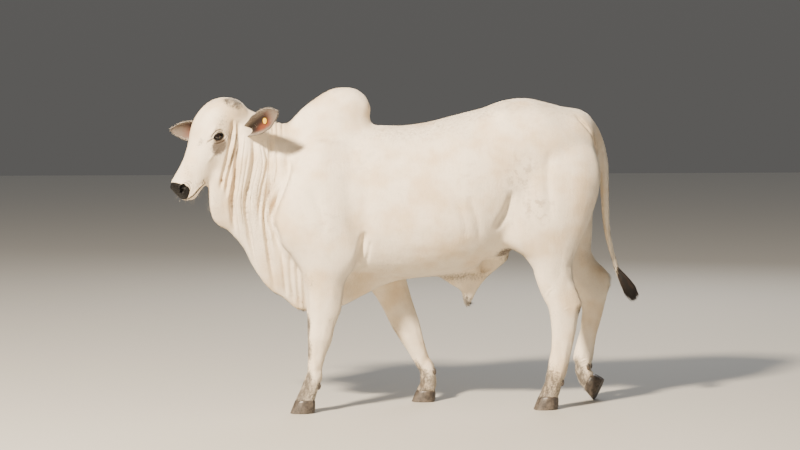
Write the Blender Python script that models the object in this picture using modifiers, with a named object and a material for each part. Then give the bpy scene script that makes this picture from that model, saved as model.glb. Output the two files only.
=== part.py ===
"""Polled Nelore bull, life size, in a slow walk with its head turned a little to its left.

The bull faces -X, its left side is at -Y and +Z is up. It stands on z = 0, and the origin is under the
middle of its bounding box. All sizes are in metres.

The flesh is lofted form by form, joined by one voxel remesh, shaped further by brushes written as
functions, thinned to few triangles and then parted with thin cuts. Hooves, dewclaws, eyes, ears, the tail
switch and the ear tag are made as pieces of their own.
"""

import math
import random

import bmesh
import bpy
import numpy as np
from mathutils import Matrix, Vector
from mathutils.bvhtree import BVHTree

# General sizes: the cuts' width, the remesh's grid and how finely the lofts are drawn
GAP = 0.0003
VOXEL = 0.008
SMOOTHING = 6
RING_SIDES = 40
TRUNK_SIDES = 56
TAIL_SIDES = 20
PASTERN_SIDES = 28
EAR_ROOT_SIDES = 20
STEPS_BETWEEN_ROWS = 3
BLOCK_SIZE = 6.0
# The sizes below are measured from a point near the middle of the back, and this moves them to the origin.
CENTRE = Vector((0.039, -0.008, 0.0))

# Trunk, as upright sections along x: x, top, bottom, half width, height of the widest place,
# middle y, roundness of the upper half and of the lower half (2 is an ellipse, more is boxier)
TRUNK = [
    (-0.665, 1.24, 0.92, 0.075, 1.07, 0.0, 2.0, 2.0),
    (-0.64, 1.31, 0.82, 0.130, 1.04, 0.0, 2.0, 2.0),
    (-0.59, 1.375, 0.735, 0.180, 1.01, 0.0, 1.9, 2.0),
    (-0.50, 1.410, 0.680, 0.225, 1.00, 0.0, 1.8, 2.0),
    (-0.38, 1.420, 0.655, 0.250, 1.01, 0.0, 1.75, 2.1),
    (-0.24, 1.420, 0.650, 0.265, 1.03, 0.0, 1.8, 2.1),
    (-0.10, 1.413, 0.652, 0.285, 1.03, 0.0, 1.9, 2.1),
    (0.04, 1.413, 0.655, 0.306, 1.02, 0.0, 2.0, 2.15),
    (0.18, 1.438, 0.662, 0.322, 1.02, 0.0, 2.05, 2.15),
    (0.30, 1.470, 0.678, 0.325, 1.04, 0.0, 2.1, 2.1),
    (0.42, 1.500, 0.705, 0.308, 1.08, 0.0, 2.15, 2.0),
    (0.52, 1.536, 0.750, 0.285, 1.16, 0.0, 2.3, 1.9),
    (0.63, 1.549, 0.810, 0.272, 1.23, 0.0, 2.3, 1.9),
    (0.73, 1.527, 0.880, 0.258, 1.26, 0.0, 2.3, 1.9),
    (0.83, 1.503, 0.950, 0.225, 1.27, 0.0, 2.2, 2.0),
    (0.91, 1.492, 1.020, 0.175, 1.28, 0.0, 2.1, 2.0),
    (0.965, 1.455, 1.100, 0.115, 1.28, 0.0, 2.0, 2.0),
    (0.995, 1.400, 1.180, 0.060, 1.29, 0.0, 2.0, 2.0),
]

# Neck, in the same columns: it bends towards the bull's left as it nears the head
NECK = [
    (-0.945, 1.38, 1.20, 0.045, 1.30, -0.110, 2.0, 2.0),
    (-0.90, 1.470, 1.120, 0.080, 1.30, -0.092, 2.0, 2.0),
    (-0.84, 1.508, 1.060, 0.098, 1.28, -0.070, 1.8, 2.0),
    (-0.77, 1.500, 1.010, 0.108, 1.25, -0.048, 1.7, 2.0),
    (-0.69, 1.468, 0.940, 0.122, 1.20, -0.027, 1.7, 2.0),
    (-0.61, 1.430, 0.860, 0.155, 1.15, -0.012, 1.7, 2.0),
    (-0.53, 1.415, 0.790, 0.190, 1.10, 0.0, 1.7, 2.0),
    (-0.45, 1.380, 0.740, 0.215, 1.05, 0.0, 1.8, 2.0),
]

# Dewlap, in the same columns: a hanging double skin from the throat to behind the forelegs
DEWLAP = [
    (-0.958, 1.160, 1.060, 0.020, 1.12, -0.125, 2.0, 1.8),
    (-0.945, 1.200, 0.970, 0.040, 1.15, -0.120, 2.0, 1.5),
    (-0.915, 1.240, 0.920, 0.060, 1.16, -0.105, 2.0, 1.4),
    (-0.870, 1.250, 0.897, 0.075, 1.15, -0.085, 2.0, 1.4),
    (-0.825, 1.240, 0.850, 0.085, 1.12, -0.065, 2.0, 1.35),
    (-0.780, 1.200, 0.792, 0.090, 1.08, -0.050, 2.0, 1.3),
    (-0.745, 1.150, 0.715, 0.095, 1.03, -0.040, 2.0, 1.3),
    (-0.700, 1.100, 0.645, 0.098, 0.97, -0.030, 2.0, 1.3),
    (-0.650, 1.050, 0.585, 0.102, 0.91, -0.018, 2.0, 1.3),
    (-0.590, 0.980, 0.552, 0.108, 0.85, -0.008, 2.0, 1.3),
    (-0.520, 0.920, 0.492, 0.110, 0.79, 0.0, 2.0, 1.3),
    (-0.440, 0.880, 0.482, 0.105, 0.75, 0.0, 2.0, 1.35),
    (-0.350, 0.840, 0.487, 0.095, 0.72, 0.0, 2.0, 1.4),
    (-0.250, 0.800, 0.524, 0.085, 0.70, 0.0, 2.0, 1.5),
    (-0.150, 0.780, 0.578, 0.075, 0.69, 0.0, 2.0, 1.5),
    (-0.040, 0.760, 0.626, 0.065, 0.69, 0.0, 2.0, 1.6),
    (0.080, 0.740, 0.648, 0.060, 0.69, 0.0, 2.0, 1.8),
    (0.180, 0.740, 0.650, 0.045, 0.70, 0.0, 2.0, 2.0),
]

# Hump, as level sections: height, front x, rear x, middle y, half width, egg shape (+ is wider in front)
HUMP = [
    (1.33, -0.60, -0.10, 0.0, 0.150, 0.0),
    (1.38, -0.585, -0.118, 0.0, 0.130, 0.0),
    (1.42, -0.562, -0.140, 0.0, 0.112, 0.0),
    (1.455, -0.532, -0.152, 0.0, 0.101, 0.0),
    (1.495, -0.494, -0.145, 0.0, 0.092, -0.05),
    (1.535, -0.444, -0.156, 0.0, 0.079, -0.1),
    (1.570, -0.394, -0.183, 0.0, 0.060, -0.1),
    (1.592, -0.352, -0.214, 0.0, 0.040, -0.1),
    (1.603, -0.318, -0.246, 0.0, 0.018, 0.0),
]

# Legs from shoulder or thigh to fetlock, in the same columns
LEFT_FORE = [
    (1.340, -0.455, -0.280, -0.125, 0.050, 0.0),
    (1.250, -0.540, -0.240, -0.160, 0.075, 0.0),
    (1.150, -0.598, -0.222, -0.186, 0.088, 0.05),
    (1.050, -0.638, -0.220, -0.198, 0.096, 0.05),
    (0.950, -0.652, -0.220, -0.203, 0.100, 0.05),
    (0.880, -0.640, -0.212, -0.203, 0.100, 0.0),
    (0.820, -0.598, -0.208, -0.202, 0.097, -0.05),
    (0.760, -0.545, -0.218, -0.198, 0.090, -0.05),
    (0.700, -0.512, -0.250, -0.190, 0.081, 0.0),
    (0.650, -0.497, -0.288, -0.185, 0.072, 0.05),
    (0.570, -0.486, -0.300, -0.180, 0.061, 0.1),
    (0.500, -0.480, -0.312, -0.178, 0.054, 0.1),
    (0.450, -0.479, -0.332, -0.176, 0.050, 0.1),
    (0.415, -0.479, -0.344, -0.175, 0.052, 0.15),
    (0.380, -0.479, -0.349, -0.174, 0.054, 0.2),
    (0.345, -0.477, -0.358, -0.173, 0.050, 0.15),
    (0.305, -0.475, -0.377, -0.172, 0.041, 0.0),
    (0.260, -0.475, -0.391, -0.171, 0.034, 0.0),
    (0.215, -0.479, -0.403, -0.170, 0.032, 0.0),
    (0.175, -0.489, -0.411, -0.169, 0.035, 0.0),
]
RIGHT_FORE = [
    (1.340, -0.440, -0.250, 0.125, 0.050, 0.0),
    (1.250, -0.505, -0.190, 0.160, 0.075, 0.0),
    (1.150, -0.545, -0.150, 0.186, 0.088, 0.05),
    (1.050, -0.560, -0.120, 0.198, 0.096, 0.05),
    (0.950, -0.550, -0.085, 0.203, 0.100, 0.05),
    (0.880, -0.520, -0.055, 0.203, 0.100, 0.0),
    (0.820, -0.460, -0.025, 0.202, 0.097, -0.05),
    (0.760, -0.375, 0.002, 0.198, 0.090, -0.05),
    (0.700, -0.280, 0.028, 0.190, 0.082, 0.0),
    (0.640, -0.195, 0.048, 0.185, 0.073, 0.05),
    (0.560, -0.122, 0.070, 0.180, 0.062, 0.1),
    (0.490, -0.078, 0.091, 0.178, 0.055, 0.1),
    (0.430, -0.048, 0.112, 0.176, 0.050, 0.1),
    (0.385, -0.026, 0.125, 0.175, 0.052, 0.15),
    (0.340, 0.000, 0.136, 0.174, 0.054, 0.2),
    (0.300, 0.026, 0.145, 0.173, 0.049, 0.15),
    (0.255, 0.058, 0.157, 0.172, 0.040, 0.0),
    (0.210, 0.085, 0.171, 0.171, 0.034, 0.0),
    (0.170, 0.102, 0.186, 0.170, 0.035, 0.0),
]
LEFT_HIND = [
    (1.400, 0.560, 0.860, -0.100, 0.070, 0.0),
    (1.300, 0.520, 0.955, -0.140, 0.098, 0.0),
    (1.200, 0.492, 0.985, -0.160, 0.115, 0.0),
    (1.100, 0.478, 0.980, -0.168, 0.120, 0.0),
    (1.000, 0.470, 0.952, -0.172, 0.117, 0.0),
    (0.920, 0.466, 0.925, -0.172, 0.109, 0.0),
    (0.860, 0.474, 0.900, -0.170, 0.100, 0.0),
    (0.820, 0.510, 0.880, -0.168, 0.092, 0.0),
    (0.785, 0.570, 0.864, -0.167, 0.084, 0.05),
    (0.745, 0.620, 0.848, -0.166, 0.076, 0.05),
    (0.700, 0.648, 0.845, -0.165, 0.067, 0.1),
    (0.650, 0.659, 0.851, -0.165, 0.059, 0.1),
    (0.610, 0.673, 0.865, -0.165, 0.055, 0.15),
    (0.570, 0.690, 0.881, -0.165, 0.053, 0.25),
    (0.532, 0.710, 0.897, -0.165, 0.053, 0.3),
    (0.498, 0.725, 0.891, -0.165, 0.053, 0.25),
    (0.460, 0.733, 0.878, -0.165, 0.047, 0.15),
    (0.410, 0.739, 0.871, -0.165, 0.039, 0.1),
    (0.340, 0.741, 0.854, -0.165, 0.034, 0.0),
    (0.260, 0.734, 0.838, -0.165, 0.034, 0.0),
    (0.195, 0.719, 0.820, -0.165, 0.040, 0.0),
    (0.155, 0.706, 0.811, -0.165, 0.045, 0.0),
]
RIGHT_HIND = [
    (1.400, 0.560, 0.860, 0.100, 0.070, 0.0),
    (1.300, 0.522, 0.960, 0.140, 0.098, 0.0),
    (1.200, 0.500, 1.000, 0.160, 0.115, 0.0),
    (1.100, 0.495, 1.010, 0.168, 0.120, 0.0),
    (1.000, 0.500, 1.012, 0.172, 0.117, 0.0),
    (0.920, 0.515, 1.012, 0.172, 0.109, 0.0),
    (0.860, 0.540, 1.010, 0.172, 0.100, 0.0),
    (0.820, 0.570, 1.006, 0.172, 0.092, 0.0),
    (0.785, 0.605, 1.003, 0.171, 0.084, 0.05),
    (0.750, 0.648, 1.008, 0.171, 0.076, 0.05),
    (0.710, 0.705, 1.036, 0.170, 0.067, 0.05),
    (0.672, 0.775, 1.076, 0.170, 0.059, 0.1),
    (0.638, 0.838, 1.103, 0.170, 0.055, 0.2),
    (0.602, 0.888, 1.106, 0.170, 0.053, 0.3),
    (0.565, 0.920, 1.097, 0.170, 0.053, 0.3),
    (0.530, 0.940, 1.086, 0.170, 0.051, 0.2),
    (0.490, 0.953, 1.078, 0.170, 0.045, 0.1),
    (0.430, 0.957, 1.064, 0.170, 0.038, 0.0),
    (0.360, 0.948, 1.043, 0.170, 0.034, 0.0),
    (0.290, 0.930, 1.027, 0.170, 0.036, 0.0),
    (0.235, 0.915, 1.018, 0.170, 0.042, 0.0),
    (0.200, 0.910, 1.016, 0.170, 0.046, 0.0),
]

# Sheath and scrotum, in the same columns
SHEATH = [
    (0.750, 0.150, 0.570, 0.0, 0.060, 0.0),
    (0.700, 0.172, 0.505, 0.0, 0.052, 0.0),
    (0.660, 0.190, 0.455, 0.0, 0.043, 0.0),
    (0.625, 0.228, 0.425, 0.0, 0.036, 0.0),
    (0.595, 0.288, 0.400, 0.0, 0.031, 0.0),
    (0.565, 0.314, 0.382, 0.0, 0.028, 0.0),
    (0.538, 0.316, 0.370, 0.0, 0.025, 0.0),
    (0.520, 0.324, 0.358, 0.0, 0.016, 0.0),
]
SCROTUM = [
    (0.900, 0.665, 0.800, 0.0, 0.050, 0.0),
    (0.830, 0.690, 0.785, 0.0, 0.040, 0.0),
    (0.780, 0.692, 0.788, 0.0, 0.042, 0.0),
    (0.730, 0.682, 0.800, 0.0, 0.054, 0.0),
    (0.680, 0.678, 0.808, 0.0, 0.062, 0.0),
    (0.640, 0.686, 0.802, 0.0, 0.056, 0.0),
    (0.612, 0.708, 0.782, 0.0, 0.036, 0.0),
]

# Head: where the brow meets the poll, how far the head is turned to the left and how steeply the face slopes
POLL = Vector((-0.878, -0.060, 1.501))
HEAD_TURN = math.radians(29)
FACE_SLOPE = math.radians(56)
# Its sections run down the face: way from the poll, brow line, jaw line, half width, height of the widest
# place (all measured from the eyes' level), roundness of the upper and of the lower half
HEAD = [
    (-0.068, -0.020, -0.060, 0.030, -0.040, 2.0, 2.0),
    (-0.060, 0.000, -0.090, 0.055, -0.040, 2.1, 2.0),
    (-0.045, 0.026, -0.120, 0.080, -0.040, 2.2, 2.0),
    (-0.020, 0.054, -0.155, 0.092, -0.035, 2.4, 2.0),
    (0.020, 0.078, -0.175, 0.100, -0.030, 2.6, 2.2),
    (0.060, 0.090, -0.185, 0.103, -0.030, 2.7, 2.2),
    (0.100, 0.094, -0.190, 0.107, -0.025, 2.7, 2.0),
    (0.150, 0.089, -0.188, 0.110, -0.020, 2.6, 1.8),
    (0.200, 0.073, -0.178, 0.104, -0.022, 2.4, 1.8),
    (0.250, 0.060, -0.160, 0.090, -0.030, 2.2, 1.9),
    (0.300, 0.050, -0.142, 0.078, -0.038, 2.1, 2.0),
    (0.350, 0.044, -0.124, 0.070, -0.040, 2.1, 2.1),
    (0.400, 0.042, -0.108, 0.066, -0.038, 2.2, 2.2),
    (0.440, 0.040, -0.100, 0.067, -0.034, 2.4, 2.3),
    (0.466, 0.033, -0.096, 0.063, -0.032, 2.6, 2.3),
    (0.482, 0.018, -0.088, 0.053, -0.034, 2.6, 2.3),
    (0.492, -0.005, -0.072, 0.034, -0.038, 2.3, 2.2),
]

# Tail, as round sections along its run: x, z, radius
TAIL = [
    (0.800, 1.440, 0.060),
    (0.870, 1.440, 0.056),
    (0.925, 1.420, 0.050),
    (0.968, 1.380, 0.044),
    (1.000, 1.320, 0.037),
    (1.020, 1.260, 0.031),
    (1.032, 1.190, 0.027),
    (1.038, 1.110, 0.0235),
    (1.042, 1.020, 0.021),
    (1.047, 0.930, 0.0185),
    (1.058, 0.850, 0.016),
    (1.076, 0.780, 0.014),
    (1.094, 0.715, 0.012),
    (1.112, 0.660, 0.011),
]

# Ears: where each grows from the head (in the head's frame), and the way it points, in the head's level
# axes of forward, to its left and up. Their sections run along the ear: way along, half width, cup depth
EAR_BASE = (0.052, 0.104, -0.126)
EAR_WAY = {"left": (-0.011, 0.264, 0.097), "right": (0.242, -0.148, 0.004)}
EAR_THICKNESS = 0.004
EAR = [
    (-0.015, 0.024, 0.030),
    (0.025, 0.031, 0.040),
    (0.062, 0.041, 0.039),
    (0.105, 0.050, 0.035),
    (0.150, 0.053, 0.029),
    (0.192, 0.050, 0.022),
    (0.230, 0.038, 0.013),
    (0.260, 0.019, 0.006),
    (0.280, 0.005, 0.002),
]
EAR_ROOT = [(-0.070, 0.040), (-0.030, 0.042), (0.0, 0.036), (0.015, 0.026)]
EAR_POINTS_ACROSS = 6

# The tag's two buttons hang on a stem through the left ear
TAG_ALONG = 0.150
TAG_RADIUS = 0.0145
TAG_THICKNESS = 0.0035
TAG_STEM_RADIUS = 0.0035
TAG_STAND_OFF = 0.0050

# Eyes, in the head's frame
EYE = (0.165, 0.0870, 0.0)
EYE_RADIUS = 0.0225
EYE_TILT = math.radians(38)
LID_LENGTH = 0.0250
LID_UPPER = 0.0150
LID_LOWER = 0.0115
LID_THICKNESS = 0.0035
LID_SPREAD = 0.045
LID_OPENING_DEPTH = (0.004, 0.045)

# Nostrils, in the head's frame: two balls sunk in each, with their centres and radii
NOSTRIL_BALLS = [
    ((0.469, 0.053, 0.004), (0.023, 0.0125, 0.0165)),
    ((0.481, 0.043, -0.008), (0.014, 0.0130, 0.0120)),
]
NOSTRIL_RIM = (0.470, 0.048, -0.002, 0.034, 0.028, 0.028, 0.005)
# The line of the mouth, from the front to its corners, in the head's frame: way down the face and height
MOUTH_LINE = [(0.500, -0.052), (0.470, -0.053), (0.435, -0.056), (0.405, -0.063), (0.378, -0.073)]
MOUTH_CENTRE = 0.430
MOUTH_DEPTH = 0.008
MOUTH_WIDTH = 0.0035
MOUTH_STEPS = 13
MOUTH_FRONT_SHARE = 0.55
MOUTH_RADIUS = 0.06
# The lips swell by this much, this far from the line of the mouth and over this width
LIP = (0.0035, 0.009, 0.007)
# Swells of the head: way down the face, sideways, out of the brow, three radii, how far out (or in)
HEAD_SWELLS = [
    (-0.0185, 0.056, 0.000, 0.034, 0.030, 0.034, 0.006),
    (0.165, 0.110, 0.034, 0.055, 0.040, 0.024, 0.009),
    (0.100, 0.100, -0.040, 0.050, 0.030, 0.040, -0.006),
    (0.165, 0.100, 0.000, 0.040, 0.030, 0.030, -0.003),
    (0.205, 0.090, -0.085, 0.085, 0.050, 0.065, 0.009),
    (0.300, 0.075, -0.070, 0.060, 0.030, 0.040, -0.005),
    (0.260, 0.078, -0.022, 0.070, 0.030, 0.014, 0.004),
    (0.110, 0.000, 0.085, 0.070, 0.045, 0.030, -0.004),
    (0.400, 0.060, -0.040, 0.050, 0.030, 0.026, 0.004),
    (0.445, 0.045, -0.090, 0.045, 0.035, 0.018, 0.004),
    (0.440, 0.055, 0.010, 0.040, 0.030, 0.022, 0.003),
]

# Swells of the body, on both sides: x, sideways, z, three radii, how far out (or in)
BODY_SWELLS = [
    (-0.560, 0.190, 1.020, 0.090, 0.120, 0.120, 0.010),
    (-0.370, 0.260, 0.960, 0.140, 0.120, 0.150, 0.010),
    (-0.195, 0.260, 1.020, 0.060, 0.120, 0.300, -0.010),
    (-0.420, 0.200, 1.230, 0.050, 0.120, 0.180, 0.008),
    (-0.330, 0.200, 1.270, 0.060, 0.120, 0.140, -0.005),
    (0.480, 0.180, 1.480, 0.075, 0.090, 0.060, 0.012),
    (0.330, 0.220, 1.400, 0.110, 0.120, 0.070, -0.010),
    (0.930, 0.105, 1.360, 0.055, 0.070, 0.070, 0.012),
    (0.800, 0.180, 1.420, 0.110, 0.120, 0.070, -0.008),
    (0.560, 0.240, 1.050, 0.120, 0.120, 0.170, 0.008),
    (0.850, 0.230, 1.150, 0.100, 0.120, 0.200, 0.008),
    (0.060, 0.250, 0.900, 0.280, 0.200, 0.170, 0.008),
]

# Grooves drawn in side view on both sides of the neck and dewlap: x and z points, half width, depth.
# They fade in over the first part of their length, and out over the last: one part in FOLD_END.
FOLD_END = 6
NECK_FOLDS = [
    ([(-0.834, 1.450), (-0.841, 1.377), (-0.867, 1.251), (-0.888, 1.165), (-0.900, 1.100)], 0.014, 0.009),
    ([(-0.806, 1.440), (-0.815, 1.340), (-0.840, 1.240), (-0.863, 1.150), (-0.872, 1.060)], 0.014, 0.010),
    ([(-0.790, 1.400), (-0.816, 1.270), (-0.831, 1.124), (-0.843, 1.037), (-0.828, 0.880)], 0.017, 0.014),
    ([(-0.736, 1.368), (-0.734, 1.264), (-0.752, 1.160), (-0.776, 1.040), (-0.760, 0.900), (-0.715, 0.660)],
     0.016, 0.012),
    ([(-0.690, 1.330), (-0.668, 1.264), (-0.673, 1.193), (-0.700, 1.080), (-0.712, 0.900)], 0.015, 0.008),
    ([(-0.654, 1.395), (-0.652, 1.280), (-0.660, 1.150), (-0.681, 0.990), (-0.668, 0.840), (-0.628, 0.580)],
     0.016, 0.012),
    ([(-0.626, 1.320), (-0.622, 1.241), (-0.629, 1.170), (-0.668, 1.040)], 0.013, 0.007),
]
BODY_FOLDS = [
    ([(-0.577, 1.330), (-0.570, 1.203), (-0.600, 1.110), (-0.652, 0.970), (-0.628, 0.870), (-0.590, 0.720)],
     0.022, 0.014),
    ([(-0.200, 0.900), (-0.215, 0.800), (-0.240, 0.720)], 0.025, 0.012),
    ([(0.440, 0.900), (0.500, 0.990), (0.530, 1.100)], 0.026, 0.012),
    ([(0.720, 1.300), (0.700, 1.150), (0.720, 0.950)], 0.030, 0.006),
]

# Feet: the fetlock's centre, how far the toe points down at the fetlock and at the coronet (degrees), and
# how far it is turned out. Three stand flat; the right hind rolls over its toe.
FEET = {
    "left_fore": ((-0.450, -0.170, 0.165), 0, 0, 5),
    "right_fore": ((0.154, 0.170, 0.165), 40, 0, 5),
    "left_hind": ((0.765, -0.165, 0.165), 0, 0, 8),
    "right_hind": ((0.966, 0.170, 0.1910), 8, 66, 24),
}
# A pastern's sections in a standing foot: way from fetlock (0) to coronet (1), front, rear, half width
PASTERN = [
    (-0.35, -0.034, 0.034, 0.030),
    (-0.15, -0.042, 0.042, 0.038),
    (0.10, -0.045, 0.044, 0.042),
    (0.35, -0.045, 0.042, 0.042),
    (0.60, -0.046, 0.044, 0.042),
    (0.85, -0.049, 0.048, 0.045),
    (1.00, -0.050, 0.050, 0.047),
    (1.12, -0.051, 0.050, 0.047),
]
FETLOCK_TO_CORONET = Vector((-0.040, 0.0, -0.105))
# A claw's sections below the coronet: height, toe, heel, width
CLAW = [
    (-0.0002, -0.048, 0.049, 0.0455),
    (-0.012, -0.054, 0.051, 0.0475),
    (-0.036, -0.064, 0.051, 0.0495),
    (-0.060, -0.074, 0.047, 0.0490),
]
CLAW_POINTS = 9
CLEFT = 0.0015
# Dewclaws behind each fetlock: way back, sideways, up, and their size
DEWCLAW = (0.040, 0.022, -0.012)
DEWCLAW_SIZE = (0.015, 0.011, 0.018)

# Tail switch: flat tapered locks of hair around the tail's end
SWITCH_ROOT = Vector((1.101, 0.0, 0.690))
SWITCH_WAY = Vector((0.112, 0.0, -0.168))
SWITCH_LOCKS = 16
SWITCH_SPREAD = 0.032
LOCK_WIDTH = 0.010
LOCK_THICKNESS = 0.0035
LOCK_SIDES = 4
TAIL_END = 0.672

# Outlines of the cuts that part the flesh: the head's in its own frame, the others in side view
NOSE_OUTLINE = [(0.456, 0.10), (0.441, 0.0), (0.445, -0.03), (0.464, -0.043), (0.6, -0.046), (0.6, 0.1)]
HEAD_OUTLINE = [(-0.12, 0.14), (-0.12, -0.03), (-0.02, -0.15), (0.08, -0.195), (0.20, -0.205),
                (0.33, -0.172), (0.42, -0.145), (0.70, -0.145), (0.70, 0.14)]
HEAD_BACK = -0.20
TAIL_UPPER_OUTLINE = [(0.915, 1.54), (1.003, 1.17), (1.4, 1.17), (1.4, 1.54)]
SHEATH_OUTLINE = [(0.10, 0.642), (0.30, 0.664), (0.42, 0.690), (0.60, 0.768), (0.60, 0.4), (0.10, 0.4)]
SCROTUM_TOP = 0.800
DEWLAP_OUTLINE = [(-1.10, 1.165), (-0.95, 1.140), (-0.665, 0.910), (-0.665, 0.4), (-1.10, 0.4)]
BRISKET_OUTLINE = [(-0.6647, 0.910), (-0.560, 0.700), (-0.400, 0.640), (-0.20, 0.620), (-0.20, 0.4),
                   (-0.6647, 0.4)]
THIGH_CUT_FRONT = 0.43
THIGH_CUT_MIDDLE = 0.860
THIGH_CUT_REARWARD = 0.60
THIGH_CUT_OUTWARD = 0.95
# Where each leg is cut across: the height below the knee or hock, and the height of the stifle
LEG_CUTS = {
    "left_fore": (0.320, None),
    "right_fore": (0.310, None),
    "left_hind": (0.455, 0.755),
    "right_hind": (0.500, 0.775),
}
# The cut over each forearm falls to the rear between two heights, and leaves the brisket between the arms
ARM_TOP = (0.865, 0.735)
ARM_INNER = 0.104
LEG_INNER = 0.02
LEG_SPAN = {
    "left_fore": (-0.72, -0.17),
    "right_fore": (-0.72, 0.35),
    "left_hind": (0.40, 1.10),
    "right_hind": (0.40, 1.30),
}

# How many triangles the flesh is thinned to, by region
HEAD_TRIANGLES = 2600
NECK_TRIANGLES = 950
BODY_TRIANGLES = 1950

# Looks: colour and roughness of each material
LOOKS = {
    "coat": ((0.80, 0.74, 0.64), 0.75),
    "dark_skin": ((0.05, 0.045, 0.045), 0.55),
    "ear_skin": ((0.62, 0.45, 0.36), 0.70),
    "eye": ((0.02, 0.012, 0.01), 0.08),
    "horn": ((0.12, 0.10, 0.085), 0.45),
    "dark_hair": ((0.02, 0.018, 0.016), 0.65),
    "tag": ((0.85, 0.62, 0.05), 0.40),
}


def look_of(node):
    """The name of the look that a node has."""
    for word, look in (("claw", "horn"), ("eye", "eye"), ("tag", "tag"), ("nose", "dark_skin"),
                       ("ear_", "ear_skin"), ("switch", "dark_hair")):
        if word in node:
            return look
    return "coat"


def clear_scene():
    for obj in list(bpy.data.objects):
        bpy.data.objects.remove(obj)


def collection(name):
    made = bpy.data.collections.new(name)
    bpy.context.scene.collection.children.link(made)
    return made


def material(name, colour, roughness):
    made = bpy.data.materials.new(name)
    made.use_nodes = True
    surface = made.node_tree.nodes["Principled BSDF"]
    surface.inputs["Base Color"].default_value = (*colour, 1.0)
    surface.inputs["Roughness"].default_value = roughness
    surface.inputs["Metallic"].default_value = 0.0
    made.diffuse_color = (*colour, 1.0)
    return made


def between(rows, steps=STEPS_BETWEEN_ROWS):
    """The rows with smooth rows added between them, as a Catmull-Rom curve through every column."""
    table = np.array(rows, float)
    table = np.vstack([2 * table[0] - table[1], table, 2 * table[-1] - table[-2]])
    made = []
    for a, b, c, d in zip(table, table[1:], table[2:], table[3:]):
        for step in range(steps):
            t = step / steps
            cubic = (3 * b - a - 3 * c + d) * t**3
            made.append(0.5 * (2 * b + (c - a) * t + (2 * a - 5 * b + 4 * c - d) * t**2 + cubic))
    made.append(table[-2])
    return [row.tolist() for row in made]


def loft(name, rings):
    """A closed mesh object through rings of points, with a pole at each end."""
    shape = bmesh.new()
    loops = [[shape.verts.new(point) for point in ring] for ring in rings]
    sides = len(loops[0])
    for low, high in zip(loops, loops[1:]):
        for i in range(sides):
            j = (i + 1) % sides
            shape.faces.new((low[i], low[j], high[j], high[i]))
    for loop in (loops[0], loops[-1]):
        pole = shape.verts.new(sum((vertex.co for vertex in loop), Vector()) / sides)
        for i in range(sides):
            shape.faces.new((loop[i], loop[(i + 1) % sides], pole))
    bmesh.ops.recalc_face_normals(shape, faces=shape.faces)
    mesh = bpy.data.meshes.new(name)
    shape.to_mesh(mesh)
    shape.free()
    return bpy.data.objects.new(name, mesh)


def bent(value, power):
    """A sine or cosine pulled towards a box (power over 2) or a diamond (power under 2)."""
    return math.copysign(abs(value) ** (2 / power), value)


def upright_rings(rows, place, sides=RING_SIDES):
    """Rings across x: place turns (x, y, z) of the form's own frame into the bull's."""
    rings = []
    for x, top, bottom, half, widest, y, upper, lower in between(rows):
        ring = []
        for i in range(sides):
            angle = 2 * math.pi * i / sides
            power = upper if math.sin(angle) >= 0 else lower
            reach = top - widest if math.sin(angle) >= 0 else widest - bottom
            side = y + half * bent(math.cos(angle), power)
            ring.append(place(x, side, widest + reach * bent(math.sin(angle), power)))
        rings.append(ring)
    return rings


def level_rings(rows, sides=RING_SIDES):
    """Rings across z, for legs and other forms that hang or stand."""
    rings = []
    for z, front, rear, y, half, egg in between(rows):
        ring = []
        for i in range(sides):
            angle = 2 * math.pi * i / sides
            x = (front + rear) / 2 - (rear - front) / 2 * math.cos(angle)
            ring.append(Vector((x, y + half * math.sin(angle) * (1 + egg * math.cos(angle)), z)))
        rings.append(ring)
    return rings


def head_frame():
    """Matrix from the head's own frame to the bull's: x down the face, y to its left, z out of the brow."""
    heading = Vector((-math.cos(HEAD_TURN), -math.sin(HEAD_TURN), 0))
    up = Vector((0, 0, 1))
    along = math.cos(FACE_SLOPE) * heading - math.sin(FACE_SLOPE) * up
    brow = math.sin(FACE_SLOPE) * heading + math.cos(FACE_SLOPE) * up
    left = up.cross(heading)
    turned = Matrix((along, left, brow)).transposed().to_4x4()
    return Matrix.Translation(POLL) @ turned


def in_head(x, y, z):
    return head_frame() @ Vector((x, y, z))


def tail_rings(rows, sides=TAIL_SIDES):
    """Rings square to the tail's run."""
    table = between(rows)
    points = [Vector((x, 0, z)) for x, z, radius in table]
    rings = []
    for i, (x, z, radius) in enumerate(table):
        run = (points[min(i + 1, len(points) - 1)] - points[max(i - 1, 0)]).normalized()
        out = run.cross(Vector((0, 1, 0)))
        ring = []
        for k in range(sides):
            angle = 2 * math.pi * k / sides
            ring.append(points[i] + radius * (math.cos(angle) * out + math.sin(angle) * Vector((0, 1, 0))))
        rings.append(ring)
    return rings


def as_is(x, y, z):
    return Vector((x, y, z))


def flesh_forms():
    """Every form of flesh as its own loft, to be joined."""
    head_rows = [(s, top, low, half, wide, 0.0, up, down) for s, top, low, half, wide, up, down in HEAD]
    return [
        loft("trunk_form", upright_rings(TRUNK, as_is, TRUNK_SIDES)),
        loft("neck_form", upright_rings(NECK, as_is)),
        loft("dewlap_form", upright_rings(DEWLAP, as_is)),
        loft("head_form", upright_rings(head_rows, in_head)),
        loft("hump_form", level_rings(HUMP)),
        loft("left_fore_form", level_rings(LEFT_FORE)),
        loft("right_fore_form", level_rings(RIGHT_FORE)),
        loft("left_hind_form", level_rings(LEFT_HIND)),
        loft("right_hind_form", level_rings(RIGHT_HIND)),
        loft("sheath_form", level_rings(SHEATH)),
        loft("scrotum_form", level_rings(SCROTUM)),
        loft("tail_form", tail_rings(TAIL)),
        loft("left_ear_root", ear_root_rings("left")),
        loft("right_ear_root", ear_root_rings("right")),
        *(loft(f"{foot}_pastern", pastern_rings(foot)) for foot in FEET),
    ]


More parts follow.
